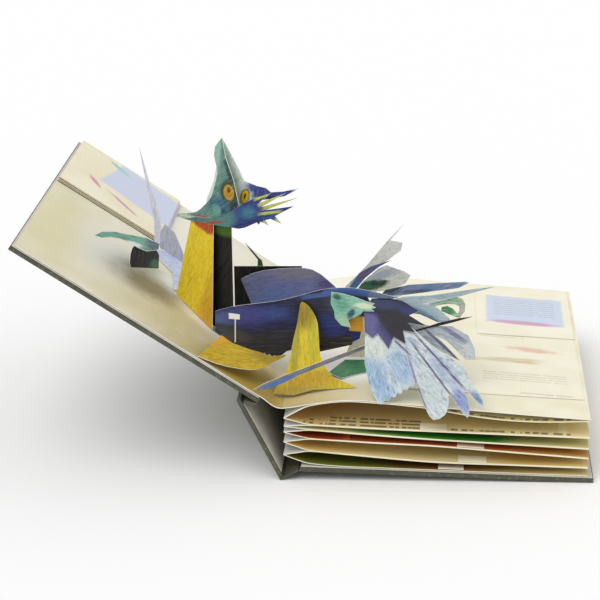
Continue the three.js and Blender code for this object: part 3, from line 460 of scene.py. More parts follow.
class Finish(Enum):
    """Every finish of the book, made once on first use."""

    CLOTH = BoardCloth("dark_board_cloth", "5f6050", "45463a", "8d8b76")
    LINING = PlainPaper("grey_lining_paper", "dad5ca", "c8c3b9", 40.0)
    LEAF = PlainPaper("leaf_cream", "f4eed6", "eae2c4", 25.0)
    LEAF_BACK = PlainPaper("leaf_back_white", "e6e5e0", "d4d4d2", 30.0)
    CUT_EDGE = PlainPaper("cut_edge_white", "f7f5ee", "e8e5da", 120.0)
    # Rims of the left flaps. Painted shade: the near-black rim stands for the shadowed gap between stacked flaps, and
    # the cream rim is darkened the same way; the red-brown rim is a leaf edge's colour.
    RIM_CREAM_SHADED = PlainPaper("rim_cream_painted_shade", "94855a", "7c704a", 120.0)
    RIM_SHADE = PlainPaper("rim_painted_shade", "2c2516", "3e341f", 120.0)
    RIM_RED = PlainPaper("rim_red_brown", "7a5a3a", "8f6f4a", 120.0)
    SPREAD_2 = SpreadPrint("spread_tan", ((0.0, "d2b06c"), (0.25, "dfc890"), (0.6, "ead9a4"), (1.0, "e6d9a6")),
                           ((14.0, 96.0, 1.2), (18.0, 92.0, 7.0), (30.0, 92.0, 12.5), (112.0, 192.0, 1.5)))
    SPREAD_3 = SpreadPrint("spread_cream_green", ((0.0, "d8cf9e"), (0.28, "d2cc90"), (0.38, "4f9a2c"), (0.66, "3f8a30"),
                                                  (0.76, "b9b878"), (1.0, "dccf96")))
    SPREAD_4 = SpreadPrint("spread_red_brown", ((0.0, "a04a26"), (0.4, "ad5328"), (0.7, "bd6a34"), (0.9, "c99a4c"),
                                                (1.0, "d0a85a")))
    SPREAD_5 = SpreadPrint("spread_gold", ((0.0, "dcb868"), (0.3, "e0cc90"), (0.6, "ddd0a0"), (0.8, "d8b86a"),
                                           (1.0, "e2cf92")))
    SPREAD_6 = SpreadPrint("spread_dark_olive", ((0.0, "7c762a"), (0.22, "6c7428"), (0.4, "6a5622"), (0.62, "885426"),
                                                 (0.78, "c0ac70"), (1.0, "d8c890")))
    NECK = Print("print_neck", ((0.3, "efd634"), (0.48, "dcbf2a"), (0.6, "e6ca2e"), (0.78, "c9a528")), (
        Patch((3.2, 0.9), (0.9, 1.6), "bd7a26", soft=0.7, strength=0.65),
        Patch((2.4, 3.4), (0.3, 2.2), "c79a26", soft=0.8, strength=0.6),
        Patch((0.1, 6.25), (1.25, 0.34), "bb4a2c", 12.0),
        Patch((0.75, 6.5), (0.25, 0.5), "b03c2a", -20.0)), streak="f6e87e", streaks=0.3)
    # Painted shade: the inner faces of the neck fold are near black, with brown streaks and a green field near the top.
    NECK_INNER_SHADE = Print("neck_inner_painted_shade", ((0.3, "141315"), (0.55, "1d1b1d"), (0.8, "2c261f")), (
        Patch((1.1, 6.9), (1.0, 0.42), "4d6f2a", 30.0, soft=0.5), ), streak="5b4a34", streaks=0.18)
    HEAD = Print("print_head", ((0.3, "4d7a70"), (0.47, "6a9086"), (0.6, "45706a"), (0.78, "90b2a4")), (
        Patch((-0.9, 11.8), (0.3, 1.5), "8fb3a3", 20.0, 0.6),
        stroke((0.0, 118.0), (12.0, 107.0), 2.6, "1f3c36", 0.9),
        Patch((1.0, 8.75), (1.3, 0.5), "2b5878", 28.0, 0.6, strength=0.9),
        Patch((1.5, 8.3), (0.5, 0.35), "22304e", 20.0, 0.5),
        Patch((0.75, 8.1), (0.42, 0.4), "64988a", 0.0, 0.35),
        Patch((-1.75, 5.7), (0.6, 0.2), "b4ccb6", 45.0, 0.4),
        Patch((-0.5, 6.6), (1.0, 0.12), "b04a30", 35.0, 0.3),
        Patch((2.1, 9.2), (0.4, 1.0), "1d2638", 20.0, 0.5),
        Patch((1.15, 9.97), (0.82, 0.84), "2b4230", 0.0, 0.3, 0.1),
        Patch((1.15, 9.97), (0.5, 0.53), "bd8c14", 0.0, 0.12, 0.1),
        Patch((1.2, 9.75), (0.3, 0.3), "a87a12", 0.0, 0.6, strength=0.7),
        Patch((1.08, 10.12), (0.17, 0.2), "5a3510", 0.0, 0.2, 0.1)), turn=60.0, streak="b9d3c4", streaks=0.28)
    FAR_HEAD = Print("print_far_head", ((0.3, "cde2d6"), (0.5, "e0eee4"), (0.7, "bad6c8")), (
        Patch((3.2, 11.8), (2.3, 0.8), "3b4590", 25.0, 0.2),
        Patch((3.4, 11.4), (1.6, 0.25), "27295a", 30.0, 0.5, 0.8),
        Patch((1.33, 10.06), (0.36, 0.62), "4d5a3a", 8.0, 0.2, 0.1),
        Patch((1.33, 10.06), (0.27, 0.5), "efbd24", 8.0, 0.1, 0.1),
        Patch((1.31, 10.1), (0.08, 0.22), "6b4512", 8.0, 0.1, 0.05)), turn=100.0, streak="d0e0d4", streaks=0.3)
    CHEEK = Print("print_cheek", ((0.3, "263a80"), (0.46, "2c4786"), (0.6, "262c66"), (0.78, "3c609c")), (
        Patch((0.9, 7.4), (2.1, 1.1), "527d7a", 45.0, 0.35),
        Patch((-1.4, 6.0), (0.8, 0.2), "b8ccb8", 42.0, 0.4),
        Patch((0.9, 7.2), (0.9, 0.1), "9c4a35", 42.0, 0.4),
        Patch((3.3, 9.9), (0.7, 0.4), "3a7684", 45.0, 0.6, strength=0.8),
        Patch((3.3, 8.7), (1.4, 0.3), "25265c", 50.0, 0.6),
        stroke((34.0, 111.0), (43.0, 123.0), 1.0, "c9cc58"),
        stroke((39.5, 111.0), (54.5, 132.0), 1.1, "cdd05a"),
        stroke((38.0, 106.0), (60.0, 129.0), 0.8, "20225a"),
        stroke((43.0, 110.5), (65.0, 136.5), 1.1, "c4c852"),
        stroke((42.0, 105.0), (57.0, 119.0), 0.9, "bfc44e"),
        stroke((55.0, 110.5), (61.0, 111.8), 1.2, "b9bf56"),
        stroke((47.0, 102.5), (52.5, 103.2), 1.2, "c6c95a")), turn=48.0, streak="6f8fd0", streaks=0.25)
    FLANK = Print("print_flank", ((0.3, "1d1e34"), (0.45, "2b2e52"), (0.58, "201f36"), (0.75, "3a4070")), (
        Patch((3.0, 4.6), (2.6, 0.5), "404d8c", 6.0, 0.7, strength=0.9),
        Patch((0.6, 4.1), (1.1, 0.5), "5a6a98", 5.0, 0.6, strength=0.9),
        Patch((2.0, 4.3), (1.2, 0.7), "4d4684", 0.0, 0.8, strength=0.8),
        Patch((4.6, 2.6), (4.6, 1.0), "373431", 5.0, 0.5, strength=0.95),
        Patch((0.9, 3.35), (1.2, 0.3), "3f4540", -10.0, 0.5),
        Patch((8.9, 5.7), (1.3, 0.8), "474f52", 0.0, 0.6, strength=0.85),
        Patch((1.2, 2.8), (1.2, 0.35), "5a554e", 0.0, 0.7, strength=0.7),
        Patch((6.5, 5.2), (1.3, 0.8), "2a2830", 0.0, 0.6),
        Patch((8.2, 4.2), (1.3, 0.7), "2d356e", -5.0, 0.6),
        stroke((76.0, 67.0), (112.0, 66.5), 2.6, "4a639c", 0.95),
        stroke((106.0, 65.8), (126.5, 64.4), 2.4, "6a7a90", 0.9),
        stroke((60.0, 60.0), (92.0, 67.0), 1.6, "4f69a4", 0.7),
        Patch((9.8, 4.4), (0.52, 0.55), "dfa42c", 0.0, 0.08, 0.05, SQUARE),
        Patch((9.75, 3.45), (0.6, 0.4), "1c2c60", 0.0, 0.1, 0.05, SQUARE)),
        turn=5.0, stroke=(0.35, 2.6), streak="6a7cc0", streaks=0.25)
    BELLY = Print("print_belly", ((0.3, "1d1b1b"), (0.5, "2e2a26"), (0.7, "3c3730")), turn=6.0, streaks=0.08)
    FAR_FLANK = Print("print_far_flank", ((0.3, "7a80b8"), (0.5, "8489ba"), (0.7, "6a72ae")), (
        Patch((-1.6, 4.2), (2.0, 0.9), "7289cc", 10.0, 0.7, strength=0.8),
        Patch((0.6, 6.2), (2.2, 0.5), "8f90a2", 0.0, 0.8),
        Patch((2.4, 5.5), (0.7, 0.6), "6a6296", 0.0, 0.8)), turn=12.0, streak="a6acdc", streaks=0.25)
    SHADOW = Print("print_shadow", ((0.3, "0c0c11"), (0.6, "17171f"), (0.85, "24252c")), streaks=0.06)
    LEG = Print("print_leg", ((0.3, "dec822"), (0.48, "cbb420"), (0.6, "d6c026"), (0.78, "b6a122")), (
        Patch((1.7, 3.0), (0.25, 2.6), "8f8a26", -8.0, 0.6, strength=0.7),
        Patch((2.4, 0.8), (2.4, 0.6), "b98e2a", 0.0, 0.6, strength=0.7),
        Patch((1.5, 0.0), (2.2, 0.4), "a88f3e", 0.0, 0.5, strength=0.8),
        Patch((2.9, 3.6), (0.3, 1.4), "a8aa2a", 0.0, 0.7, strength=0.6),
        Patch((2.3, 5.3), (0.9, 1.0), "8e7a1c", 0.0, 0.6)), streak="f2ea88", streaks=0.3)
    FAR_LEG = Print("print_far_leg", ((0.3, "efe8cf"), (0.5, "f4efdc"), (0.7, "e2d9b8")), (
        Patch((9.0, 4.2), (2.0, 0.6), "c9a526", 0.0, 0.5),), streak="ffffff", streaks=0.1)
    FOOT = Print("print_foot", ((0.3, "d6b426"), (0.48, "b3961e"), (0.6, "c9a826"), (0.78, "927d22")), (
        Patch((4.4, 3.0), (1.2, 0.6), "8a7a34", 30.0, 0.7, strength=0.7),
        Patch((1.0, 2.4), (1.0, 0.4), "dd9a30", 60.0, 0.6, strength=0.7)), turn=25.0, streak="efdf80", streaks=0.25)
    QUILL = Print("print_quill", ((0.3, "707277"), (0.5, "83858a"), (0.7, "5e6064")), (
        Patch((1.9, -0.2), (1.5, 0.2), "4d76b8", 0.0, 0.4),), turn=0.0, streak="b4b7bc", streaks=0.2)
    STICK = Print("print_stick", ((0.3, "3a3a2e"), (0.5, "4a4a3c"), (0.7, "2c2c24")), (
        Patch((-2.4, 6.7), (0.4, 0.4), "2f5a34", 0.0, 0.4),), streaks=0.1)
    GREEN = Print("print_green", ((0.3, "2a7048"), (0.5, "3c8a5a"), (0.68, "1d5234"), (0.85, "6fae82")), turn=30.0,
                  streaks=0.12)
    CURL = Print("print_curl", ((0.3, "4c8a62"), (0.5, "8fae90"), (0.68, "b2bda2"), (0.85, "5d9672")), (
        Patch((5.7, -0.3), (0.5, 0.4), "3f7d54", 0.0, 0.5),
        Patch((6.8, -0.2), (0.3, 0.6), "a9ad9a", 0.0, 0.5)), turn=0.0)
    RUFF = Print("print_ruff", ((0.3, "6fb29c"), (0.47, "96c8b0"), (0.6, "78b8a2"), (0.78, "bcd8b8")), (
        Patch((1.1, 4.6), (0.6, 0.4), "a9cfae", 0.0, 0.6),
        Patch((0.9, 5.9), (0.5, 0.5), "4f9686", 0.0, 0.6, strength=0.7),
        Patch((1.6, 5.3), (0.2, 0.5), "2f5a6a", -30.0, 0.5, 0.9),
        Patch((2.5, 6.0), (0.7, 0.2), "dbe6c4", 5.0, 0.5, 0.8),
        Patch((0.5, 6.3), (0.3, 0.2), "35665e", 0.0, 0.5, 0.9)), turn=0.0, stroke=(1.2, 2.6),
        streak="dcecd0", streaks=0.35)
    TAIL = Print("print_tail", ((0.3, "93aac2"), (0.45, "b7c4cb"), (0.56, "ccd3d0"), (0.68, "a5b9cb"), (0.8, "c2ccca")), (
        Patch((1.0, -4.9), (0.8, 1.5), "8fadc9", 10.0, 0.5, 0.9, strength=0.9),
        Patch((1.1, -3.0), (0.9, 1.1), "ced5ce", 0.0, 0.5, 0.7),
        Patch((2.8, -4.6), (0.8, 1.2), "93adca", 20.0, 0.5, 0.9, strength=0.85),
        Patch((1.8, -6.5), (0.6, 0.9), "8eaacc", 20.0, 0.5, 0.8, strength=0.85),
        Patch((5.0, -6.4), (0.7, 1.7), "bfcacc", 30.0, 0.5, 0.8),
        Patch((5.8, -4.8), (0.5, 1.4), "9dabc4", 40.0, 0.5, 0.8, strength=0.8),
        Patch((6.9, -6.8), (0.45, 1.0), "8594c0", 35.0, 0.4, 0.6),
        Patch((7.8, -6.6), (0.3, 0.6), "6f92b8", 45.0, 0.4, 0.5),
        stroke((23.0, -26.0), (33.0, -36.0), 0.7, "6c3f7c"),
        stroke((31.0, -32.0), (39.0, -58.0), 0.7, "86549a", 0.75),
        stroke((38.5, -57.0), (45.5, -74.0), 0.6, "5a4a78"),
        stroke((35.5, -29.0), (62.0, -65.0), 0.75, "4f3466"),
        stroke((36.0, -20.5), (70.0, -59.0), 0.75, "4f3466")),
        turn=0.0, stroke=(1.3, 0.5), streak="eef2ec", streaks=0.5, pooling=0.55, fan=True)
    MIDDLE_TAIL = Print("print_middle_tail", ((0.3, "8596a4"), (0.48, "a4b1b8"), (0.6, "bec6c6"), (0.78, "8d9cac")), (
        stroke((15.0, 9.0), (70.0, 15.0), 3.0, "566a90", 0.95),
        stroke((12.0, 8.0), (27.0, 12.0), 2.2, "1e2129", 0.95),
        stroke((15.0, 6.5), (45.0, 9.5), 1.4, "23304e"),
        stroke((28.0, 3.5), (88.0, 12.5), 2.6, "8fa6a8", 0.8),
        Patch((4.3, -0.3), (1.6, 0.4), "96abb4", -25.0, 0.6),
        Patch((4.5, -0.9), (1.1, 0.3), "52788e", -30.0, 0.5),
        stroke((38.0, -6.0), (52.0, -11.5), 0.7, "33304a"),
        stroke((55.0, -14.5), (76.0, -27.0), 1.4, "736a94"),
        stroke((42.0, -15.3), (66.0, -36.0), 0.9, "54486c"),
        Patch((7.3, -3.1), (0.6, 0.8), "c6cdcd", 0.0, 0.5)),
        turn=0.0, stroke=(1.6, 0.5), streak="dde2e0", streaks=0.4, fan=True)
    COVERT = Print("print_covert", ((0.3, "1c1c1f"), (0.48, "27262f"), (0.6, "1d1c1e"), (0.8, "303048")), (
        Patch((0.75, -1.6), (0.55, 1.1), "625f8e", 15.0, 0.4, 0.4, strength=0.95),
        Patch((1.6, -2.4), (0.5, 1.0), "4e4d80", 25.0, 0.4, 0.4, strength=0.95),
        Patch((2.3, -1.6), (0.8, 1.2), "232022", 35.0, 0.5),
        Patch((1.3, 0.0), (1.2, 0.4), "363a5c", -5.0, 0.6),
        Patch((3.2, -0.5), (0.8, 0.3), "2f3462", -20.0, 0.5)),
        turn=0.0, stroke=(1.8, 0.5), streak="5a5a94", streaks=0.25, fan=True)
    UPPER_TAIL = Print("print_upper_tail", ((0.3, "cdd1ca"), (0.5, "dcded6"), (0.7, "bfc4c2")), (
        Patch((6.3, 6.3), (1.3, 0.3), "a8b2c0", 25.0, 0.6),
        Patch((5.4, 5.45), (1.2, 0.36), "265c40", 14.0, 0.25, 0.5),
        Patch((6.0, 5.7), (0.6, 0.14), "1d3428", 14.0, 0.3, 0.5)), turn=0.0, stroke=(1.4, 0.5), streaks=0.35, fan=True)
    PURPLE = Print("print_purple", ((0.3, "5e5a80"), (0.5, "6e6b92"), (0.7, "524e76")), (
        Patch((4.2, 5.4), (0.5, 0.7), "5274a4", -40.0, 0.5),), turn=40.0, streak="8f90c0", streaks=0.25)
    LAVENDER = Print("print_lavender", ((0.3, "ccd0e8"), (0.5, "dde0ee"), (0.7, "bec4e2")), streaks=0.4)
    BLUE_SHEET = Print("print_blue_sheet", ((0.3, "b3c5ec"), (0.5, "d3ddf2"), (0.7, "a3b8e6")), turn=30.0, streaks=0.5)
    GREY_LEAF = Print("print_grey_leaf", ((0.3, "a9acc0"), (0.5, "bfc2d0"), (0.7, "9498b0")), streaks=0.2)
    DARK_BAND = Print("print_dark_band", ((0.3, "1c1c22"), (0.55, "232228"), (0.8, "2c2b34")), (
        Patch((3.2, 0.3), (0.7, 0.35), "456f52", 0.0, 0.4, 0.8),), streaks=0.1)
    CLAW = Print("print_claw", ((0.3, "4a8c78"), (0.48, "6ea892"), (0.62, "3c7c6a"), (0.8, "9cc8b8")), (
        Patch((-12.5, 9.4), (0.6, 1.2), "3c4f5c", 0.0, 0.5, 0.6),
        Patch((-13.9, 7.3), (0.9, 0.35), "d8e6e6", 50.0, 0.5, 0.6)), turn=40.0, streak="dcefe6", streaks=0.3)
    LEFT_PAGE = PagePrint("print_left_page", "ebe4cb", "e0d9bc", patches=(
        Patch((-4.6, 1.0), (4.6, 3.2), "a8943e", 20.0, 0.8, 0.5, strength=0.75),
        Patch((-10.0, 4.0), (4.0, 2.6), "c4ba8a", 20.0, 0.9, 0.4, strength=0.6),
        Patch((-2.0, 1.0), (3.0, 4.6), "ac8e2a", 0.0, 0.6, 0.5, strength=0.85),
        Patch((-8.0, 8.4), (3.4, 2.1), "f0eee6", -35.0, 0.25, 0.3),
        Patch((-5.0, 10.5), (4.5, 5.0), "f4f2ea", 0.0, 0.3, 0.3),
        Patch((-15.0, 8.0), (2.6, 4.0), "e6e4dc", 0.0, 0.8, 0.3, strength=0.8),
        Patch((-19.0, 7.0), (1.8, 6.0), "ddd6a8", 0.0, 0.8, 0.3, strength=0.7),
        # Painted shadow: the dark olive field beside the foot of the dark band.
        Patch((-11.4, 6.8), (2.6, 1.8), "6c5f2c", 15.0, 0.7, 0.5, strength=0.8),
        Patch((-9.5, 20.0), (7.0, 7.0), "f4f1e4", 0.0, 0.8, 0.3, strength=0.8)))
    RIGHT_PAGE = PagePrint("print_right_page", "f4efd8", "ece5c8", patches=(
        Patch((1.5, 1.0), (5.2, 3.0), "b9a25a", 0.0, 0.7, 0.5, strength=0.85),
        Patch((7.0, 1.2), (4.0, 1.6), "efe9d0", 0.0, 0.8, 0.4, strength=0.6),
        Patch((3.4, 7.5), (4.6, 4.4), "fbfaf2", 0.0, 0.3, 0.3),
        Patch((4.0, 17.0), (5.0, 8.0), "fbf8ec", 0.0, 0.6, 0.3)))
    LEFT_FLAP = PagePrint("print_left_flap", "f6efd8", "efe6c8", (
        Patch((-14.3, 21.9), (3.2, 3.0), "cdd5ee", -10.0, 0.06, 0.08, SQUARE, 0.9),
        Patch((-17.0, 24.2), (1.1, 0.3), "a9d6c6", -25.0, 0.4, 0.9),
        Patch((-18.2, 18.6), (0.9, 0.25), "d8a0ae", -50.0, 0.4, 0.9),
        Patch((-15.6, 17.6), (1.5, 0.2), "c9a4b8", -30.0, 0.4, 0.9)))
    LARGE_FLAP = PagePrint("print_large_flap", "f6f1dc", "f0ead0", (
        Patch((17.0, 11.9), (1.6, 0.45), "e3b3a0", -8.0, 0.5, 1.2, strength=0.7),
        Patch((15.2, 9.6), (2.4, 0.4), "cfc596", 5.0, 0.5, 1.2, strength=0.7),
        Patch((16.4, 9.3), (1.0, 0.2), "d9a48a", 0.0, 0.5, 0.9, strength=0.6)),
        ((13.4, 19.2, 5.6, 7.4, 0.42), (15.8, 19.4, 3.2, 3.9, 0.7), (13.4, 16.5, 13.9, 14.7, 0.42)))
    SMALL_FLAP = PagePrint("print_small_flap", "f8f3e0", "f2ecd4", (
        Patch((16.7, 19.9), (2.85, 2.95), "cdd8ea", -1.0, 0.05, 0.12, SQUARE, 0.95),
        Patch((16.6, 17.2), (2.3, 0.42), "cfaac4", -2.0, 0.35, 0.4)),
        ((14.4, 19.0, 18.6, 22.4, 0.45),))

    @property
    def material(self) -> bpy.types.Material:
        """The finish's material, made on first use."""
        if self not in MADE:
            MADE[self] = self.value.make()
        return MADE[self]


MADE: dict[Finish, bpy.types.Material] = {}


@dataclass(frozen=True)
class SheetPlane:
    """A sheet's plane in the book's axes, in millimetres: its origin, level direction and upward direction."""

    origin: Vector
    level: Vector
    rise: Vector

    @staticmethod
    def spanned(origin: Vector, level: Vector, rise: Vector) -> "SheetPlane":
        """The plane through an origin that holds two directions, the second made square to the first."""
        along = level.normalized()
        return SheetPlane(origin, along, (rise - along * rise.dot(along)).normalized())

    def flat(self, points: np.ndarray) -> np.ndarray:
        """The places of book-frame points on the sheet, in centimetres."""
        arms = points - np.array(self.origin)
        return np.column_stack((arms @ np.array(self.level), arms @ np.array(self.rise))) / 10

    def normal(self) -> np.ndarray:
        """The direction square on the sheet, in the row frame."""
        across = self.level.cross(self.rise)
        return np.array(PLACE.turned(*across))


LEVEL = Vector((1.0, 0.0, 0.0))
DEEP = Vector((0.0, 1.0, 0.0))
UPRIGHT = Vector((0.0, 0.0, 1.0))


def across_pages(y: float) -> SheetPlane:
    """The upright plane across both pages at a distance from their near edges."""
    return SheetPlane(Vector((0.0, y, 0.0)), LEVEL, UPRIGHT)


class Planes:
    """The planes of the bird's cards and of the two pages."""

    neck_root = on_left(94.0, 80.5, 0.6)
    neck_near = SheetPlane.spanned(neck_root, on_left(61.5, 57.3, 0.6) - neck_root, UPRIGHT)
    neck_top = neck_root + neck_near.level * -10.8 + neck_near.rise * 59.5
    neck_far = SheetPlane.spanned(neck_root, on_left(44.0, 58.0, 0.6) - neck_root, neck_top - neck_root)
    flank = SheetPlane.spanned(Vector((-50.5, 57.3, 0.0)), Vector((1.0, -0.1, 0.0)), UPRIGHT)
    far_flank = across_pages(98.0)
    cross = across_pages(104.0)
    leg_root = on_left(8.0, 16.5, 0.0)
    leg = SheetPlane.spanned(leg_root, Vector((49.0, 20.0, 8.3)) - leg_root, Vector((12.0, 49.4, 56.6)) - leg_root)
    far_leg = across_pages(78.0)
    foot = SheetPlane.spanned(on_left(66.0, 0.0, 0.8), LEFT_UP * 0.12 - LEFT_ALONG, Vector((0.0, 1.0, 0.4)))
    quill_tip = Vector((-19.5, 1.2, 11.5))
    quill = SheetPlane.spanned(quill_tip, Vector((53.8, 28.0, 35.0)) - quill_tip, UPRIGHT)
    ruff = SheetPlane.spanned(Vector((28.4, 48.6, 0.0)), Vector((1.0, -0.4, 0.0)), UPRIGHT)
    left_page = SheetPlane(on_left(0.0, 0.0), -LEFT_ALONG, DEEP)
    right_page = SheetPlane(Vector((0.0, 0.0, 6.0)), LEVEL, DEEP)
    tail = SheetPlane.spanned(Vector((50.0, 45.3, 59.2)), LEVEL, Vector((0.0, 1.0, 1.0)))
    middle_tail = SheetPlane.spanned(Vector((50.0, 47.3, 59.2)), LEVEL, Vector((0.0, 0.3, 0.95)))
    far_tail = across_pages(97.0)
    band_root = on_left(132.6, 75.0, 0.7)
    band = SheetPlane.spanned(band_root, on_left(112.8, 104.8, 0.7) - band_root, UPRIGHT)


class Folding:
    """The right-hand page's angle at the crease, by distance from it, for the bird's cards."""

    def __init__(self) -> None:
        """Reads the right-hand page's angle at the crease, by distance from it."""
        page = PLACE.book(mesh_points(frame["nodes"]["right_page"].data))
        top = page[(page[:, 0] > 4.0) & (page[:, 2] > 0.0)]
        order = np.argsort(top[:, 0])
        self.reach = top[order, 0]
        self.rise = np.degrees(np.arctan2(top[order, 2], top[order, 0]))
        self.open_angle = 180.0 - math.degrees(COVER_ANGLE)

    def apply(self, piece: bpy.types.Object) -> None:
        """Bakes a piece's place into its mesh and reads the page's angle at its points' distances from the crease; the
        piece keeps its shape.

        Args:
            piece: the piece, at rest.
        """
        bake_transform(piece)
        points = PLACE.book(mesh_points(piece.data))
        radius = np.hypot(points[:, 0], points[:, 2])
        floor = np.interp(radius, self.reach, self.rise)


FOLDING = Folding()


def finer_copy(node: str, cell: float) -> bpy.types.Object:
    """A merged copy of a CAD node's mesh with no edge longer than a cell.

    Args:
        node: the CAD node.
        cell: the longest edge, in millimetres.

    Returns:
        The new object, at the origin.
    """
    mesh = frame["nodes"][node].data.copy()
    build = bmesh.new()
    build.from_mesh(mesh)
    bmesh.ops.remove_doubles(build, verts=build.verts, dist=1e-6)
    for _ in range(7):
        long_edges = [e for e in build.edges if e.calc_length() > cell * MM]
        if not long_edges:
            break
        bmesh.ops.subdivide_edges(build, edges=long_edges, cuts=1)
        bmesh.ops.triangulate(build, faces=build.faces)
    build.to_mesh(mesh)
    build.free()
    piece = bpy.data.objects.new(node + "_print", mesh)
    bpy.context.scene.collection.objects.link(piece)
    return piece


def stand_for(piece: bpy.types.Object, node: str) -> None:
    """Hides the CAD node that a piece stands in for, and logs the piece."""
    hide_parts(node)
    LOG.info("piece %s", piece.name)


def lay_sheet(mesh: bpy.types.Mesh, planes: tuple[SheetPlane, ...], fan: Pair | None) -> np.ndarray:
    """Writes a sheet's print coordinates, each face in the plane that it lies in.

    Args:
        mesh: the sheet's mesh.
        planes: the planes of the sheet's panels.
        fan: the root of a fan's feathers in centimetres of the plane, or None.

    Returns:
        For each face, the number of its plane, or -1 on the cut edge, with the sign of its side.
    """
    layer = mesh.uv_layers.new(name="print")
    normals = face_values(mesh, "normal", 3)
    facing = np.stack([normals @ plane.normal() for plane in planes], axis=1)
    nearest = np.abs(facing).argmax(axis=1)
    points = PLACE.book(mesh_points(mesh))
    flats = [plane.flat(points) for plane in planes]
    corners = np.zeros(len(mesh.loops), dtype=np.int32)
    mesh.loops.foreach_get("vertex_index", corners)
    starts = face_values(mesh, "loop_start", 1).astype(int)[:, 0]
    counts = face_values(mesh, "loop_total", 1).astype(int)[:, 0]
    of_loop = np.repeat(nearest, counts)
    order = np.concatenate([np.arange(a, a + n) for a, n in zip(starts, counts)])
    uv = np.zeros((len(corners), 2))
    for k, flat in enumerate(flats):
        mine = order[of_loop == k]
        uv[mine] = flat[corners[mine]]
    layer.data.foreach_set("uv", uv.ravel())
    if fan is not None:
        arms = uv - np.array(fan)
        polar = np.column_stack((np.degrees(np.arctan2(arms[:, 1], arms[:, 0])) / 10, np.hypot(*arms.T)))
        mesh.uv_layers.new(name="fan").data.foreach_set("uv", polar.ravel())
    side = np.take_along_axis(facing, nearest[:, None], axis=1)[:, 0]
    return np.where(np.abs(side) > 0.8, (nearest + 1) * np.sign(side), 0).astype(int)


@dataclass
class Card:
    """A flat or folded card of the bird: a finer copy of its CAD node, printed, with white cut edges.

    Each plane has its front finish, towards the reader, and its back finish.
    """

    node: str
    planes: tuple[SheetPlane, ...]
    fronts: tuple[Finish, ...]
    backs: tuple[Finish, ...] | None = None
    fan: Pair | None = None
    cell: float = 7.0

    def build(self) -> bpy.types.Object:
        """Makes the printed card in place of its node."""
        piece = finer_copy(self.node, self.cell)
        mesh = piece.data
        sides = lay_sheet(mesh, self.planes, self.fan)
        backs = self.backs or self.fronts
        mesh.materials.clear()
        for finish in (Finish.CUT_EDGE, *self.fronts, *backs):
            mesh.materials.append(finish.material)
        reader = [1 if plane.normal()[1] <= 0 else -1 for plane in self.planes]
        slots = np.zeros(len(sides), dtype=np.int32)
        for k in range(len(self.planes)):
            slots[sides == (k + 1) * reader[k]] = k + 1
            slots[sides == -(k + 1) * reader[k]] = k + 1 + len(self.fronts)
        mesh.polygons.foreach_set("material_index", slots)
        FOLDING.apply(piece)
        stand_for(piece, self.node)
        return piece


@dataclass
class Bird:
    """The folded-card bird, all of its cards."""

    cards: tuple[Card, ...] = (
        Card("neck_fold", (Planes.neck_near, Planes.neck_far), (Finish.NECK, Finish.NECK_INNER_SHADE),
             (Finish.NECK_INNER_SHADE, Finish.NECK)),
        Card("head_near_mask", (Planes.neck_near,), (Finish.HEAD,)),
        Card("head_far_mask", (Planes.neck_far,), (Finish.FAR_HEAD,)),
        Card("head_cheek_plume", (Planes.neck_near,), (Finish.CHEEK,)),
        Card("near_flank", (Planes.flank,), (Finish.FLANK,)),
        Card("flank_slot_tab", (Planes.flank,), (Finish.CUT_EDGE,)),
        Card("belly_card", (Planes.flank,), (Finish.BELLY,)),
        Card("far_flank", (Planes.far_flank,), (Finish.FAR_FLANK,)),
        Card("inner_cross_card", (Planes.cross,), (Finish.SHADOW,)),
        Card("back_quill", (Planes.cross,), (Finish.STICK,)),
        Card("near_leg", (Planes.leg,), (Finish.LEG,)),
        Card("far_leg", (Planes.far_leg,), (Finish.FAR_LEG,), (Finish.LEG,)),
        Card("left_foot", (Planes.foot,), (Finish.FOOT,)),
        Card("long_grey_feather", (Planes.quill,), (Finish.QUILL,)),
        Card("green_leaf", (Planes.right_page,), (Finish.GREEN,)),
        Card("green_ruff", (Planes.ruff,), (Finish.RUFF,)),
        Card("wing_coverts", (Planes.tail,), (Finish.COVERT,), fan=(0.0, 0.0)),
        Card("near_tail_fan", (Planes.tail,), (Finish.TAIL,), fan=(0.0, 0.0)),
        Card("middle_tail_fan", (Planes.middle_tail,), (Finish.MIDDLE_TAIL,), fan=(0.8, -0.1)),
        Card("dark_tail_feather", (Planes.middle_tail,), (Finish.SHADOW,)),
        Card("curled_tail_tip", (Planes.middle_tail,), (Finish.CURL,)),
        Card("upper_tail_fan", (Planes.far_tail,), (Finish.UPPER_TAIL,), fan=(3.0, 4.4)),
        Card("purple_tail_feather", (Planes.far_tail,), (Finish.PURPLE,)),
        Card("left_tall_feather", (Planes.far_flank,), (Finish.LAVENDER,)),
        Card("left_blue_sheet", (Planes.left_page,), (Finish.BLUE_SHEET,)),
        Card("left_grey_leaf", (Planes.far_flank,), (Finish.GREY_LEAF,)),
        Card("left_dark_band", (Planes.band,), (Finish.DARK_BAND,)),
        Card("left_claw", (Planes.left_page,), (Finish.CLAW,)),
    )

    def build(self) -> None:
        """Makes every card."""
        for card in self.cards:
            card.build()


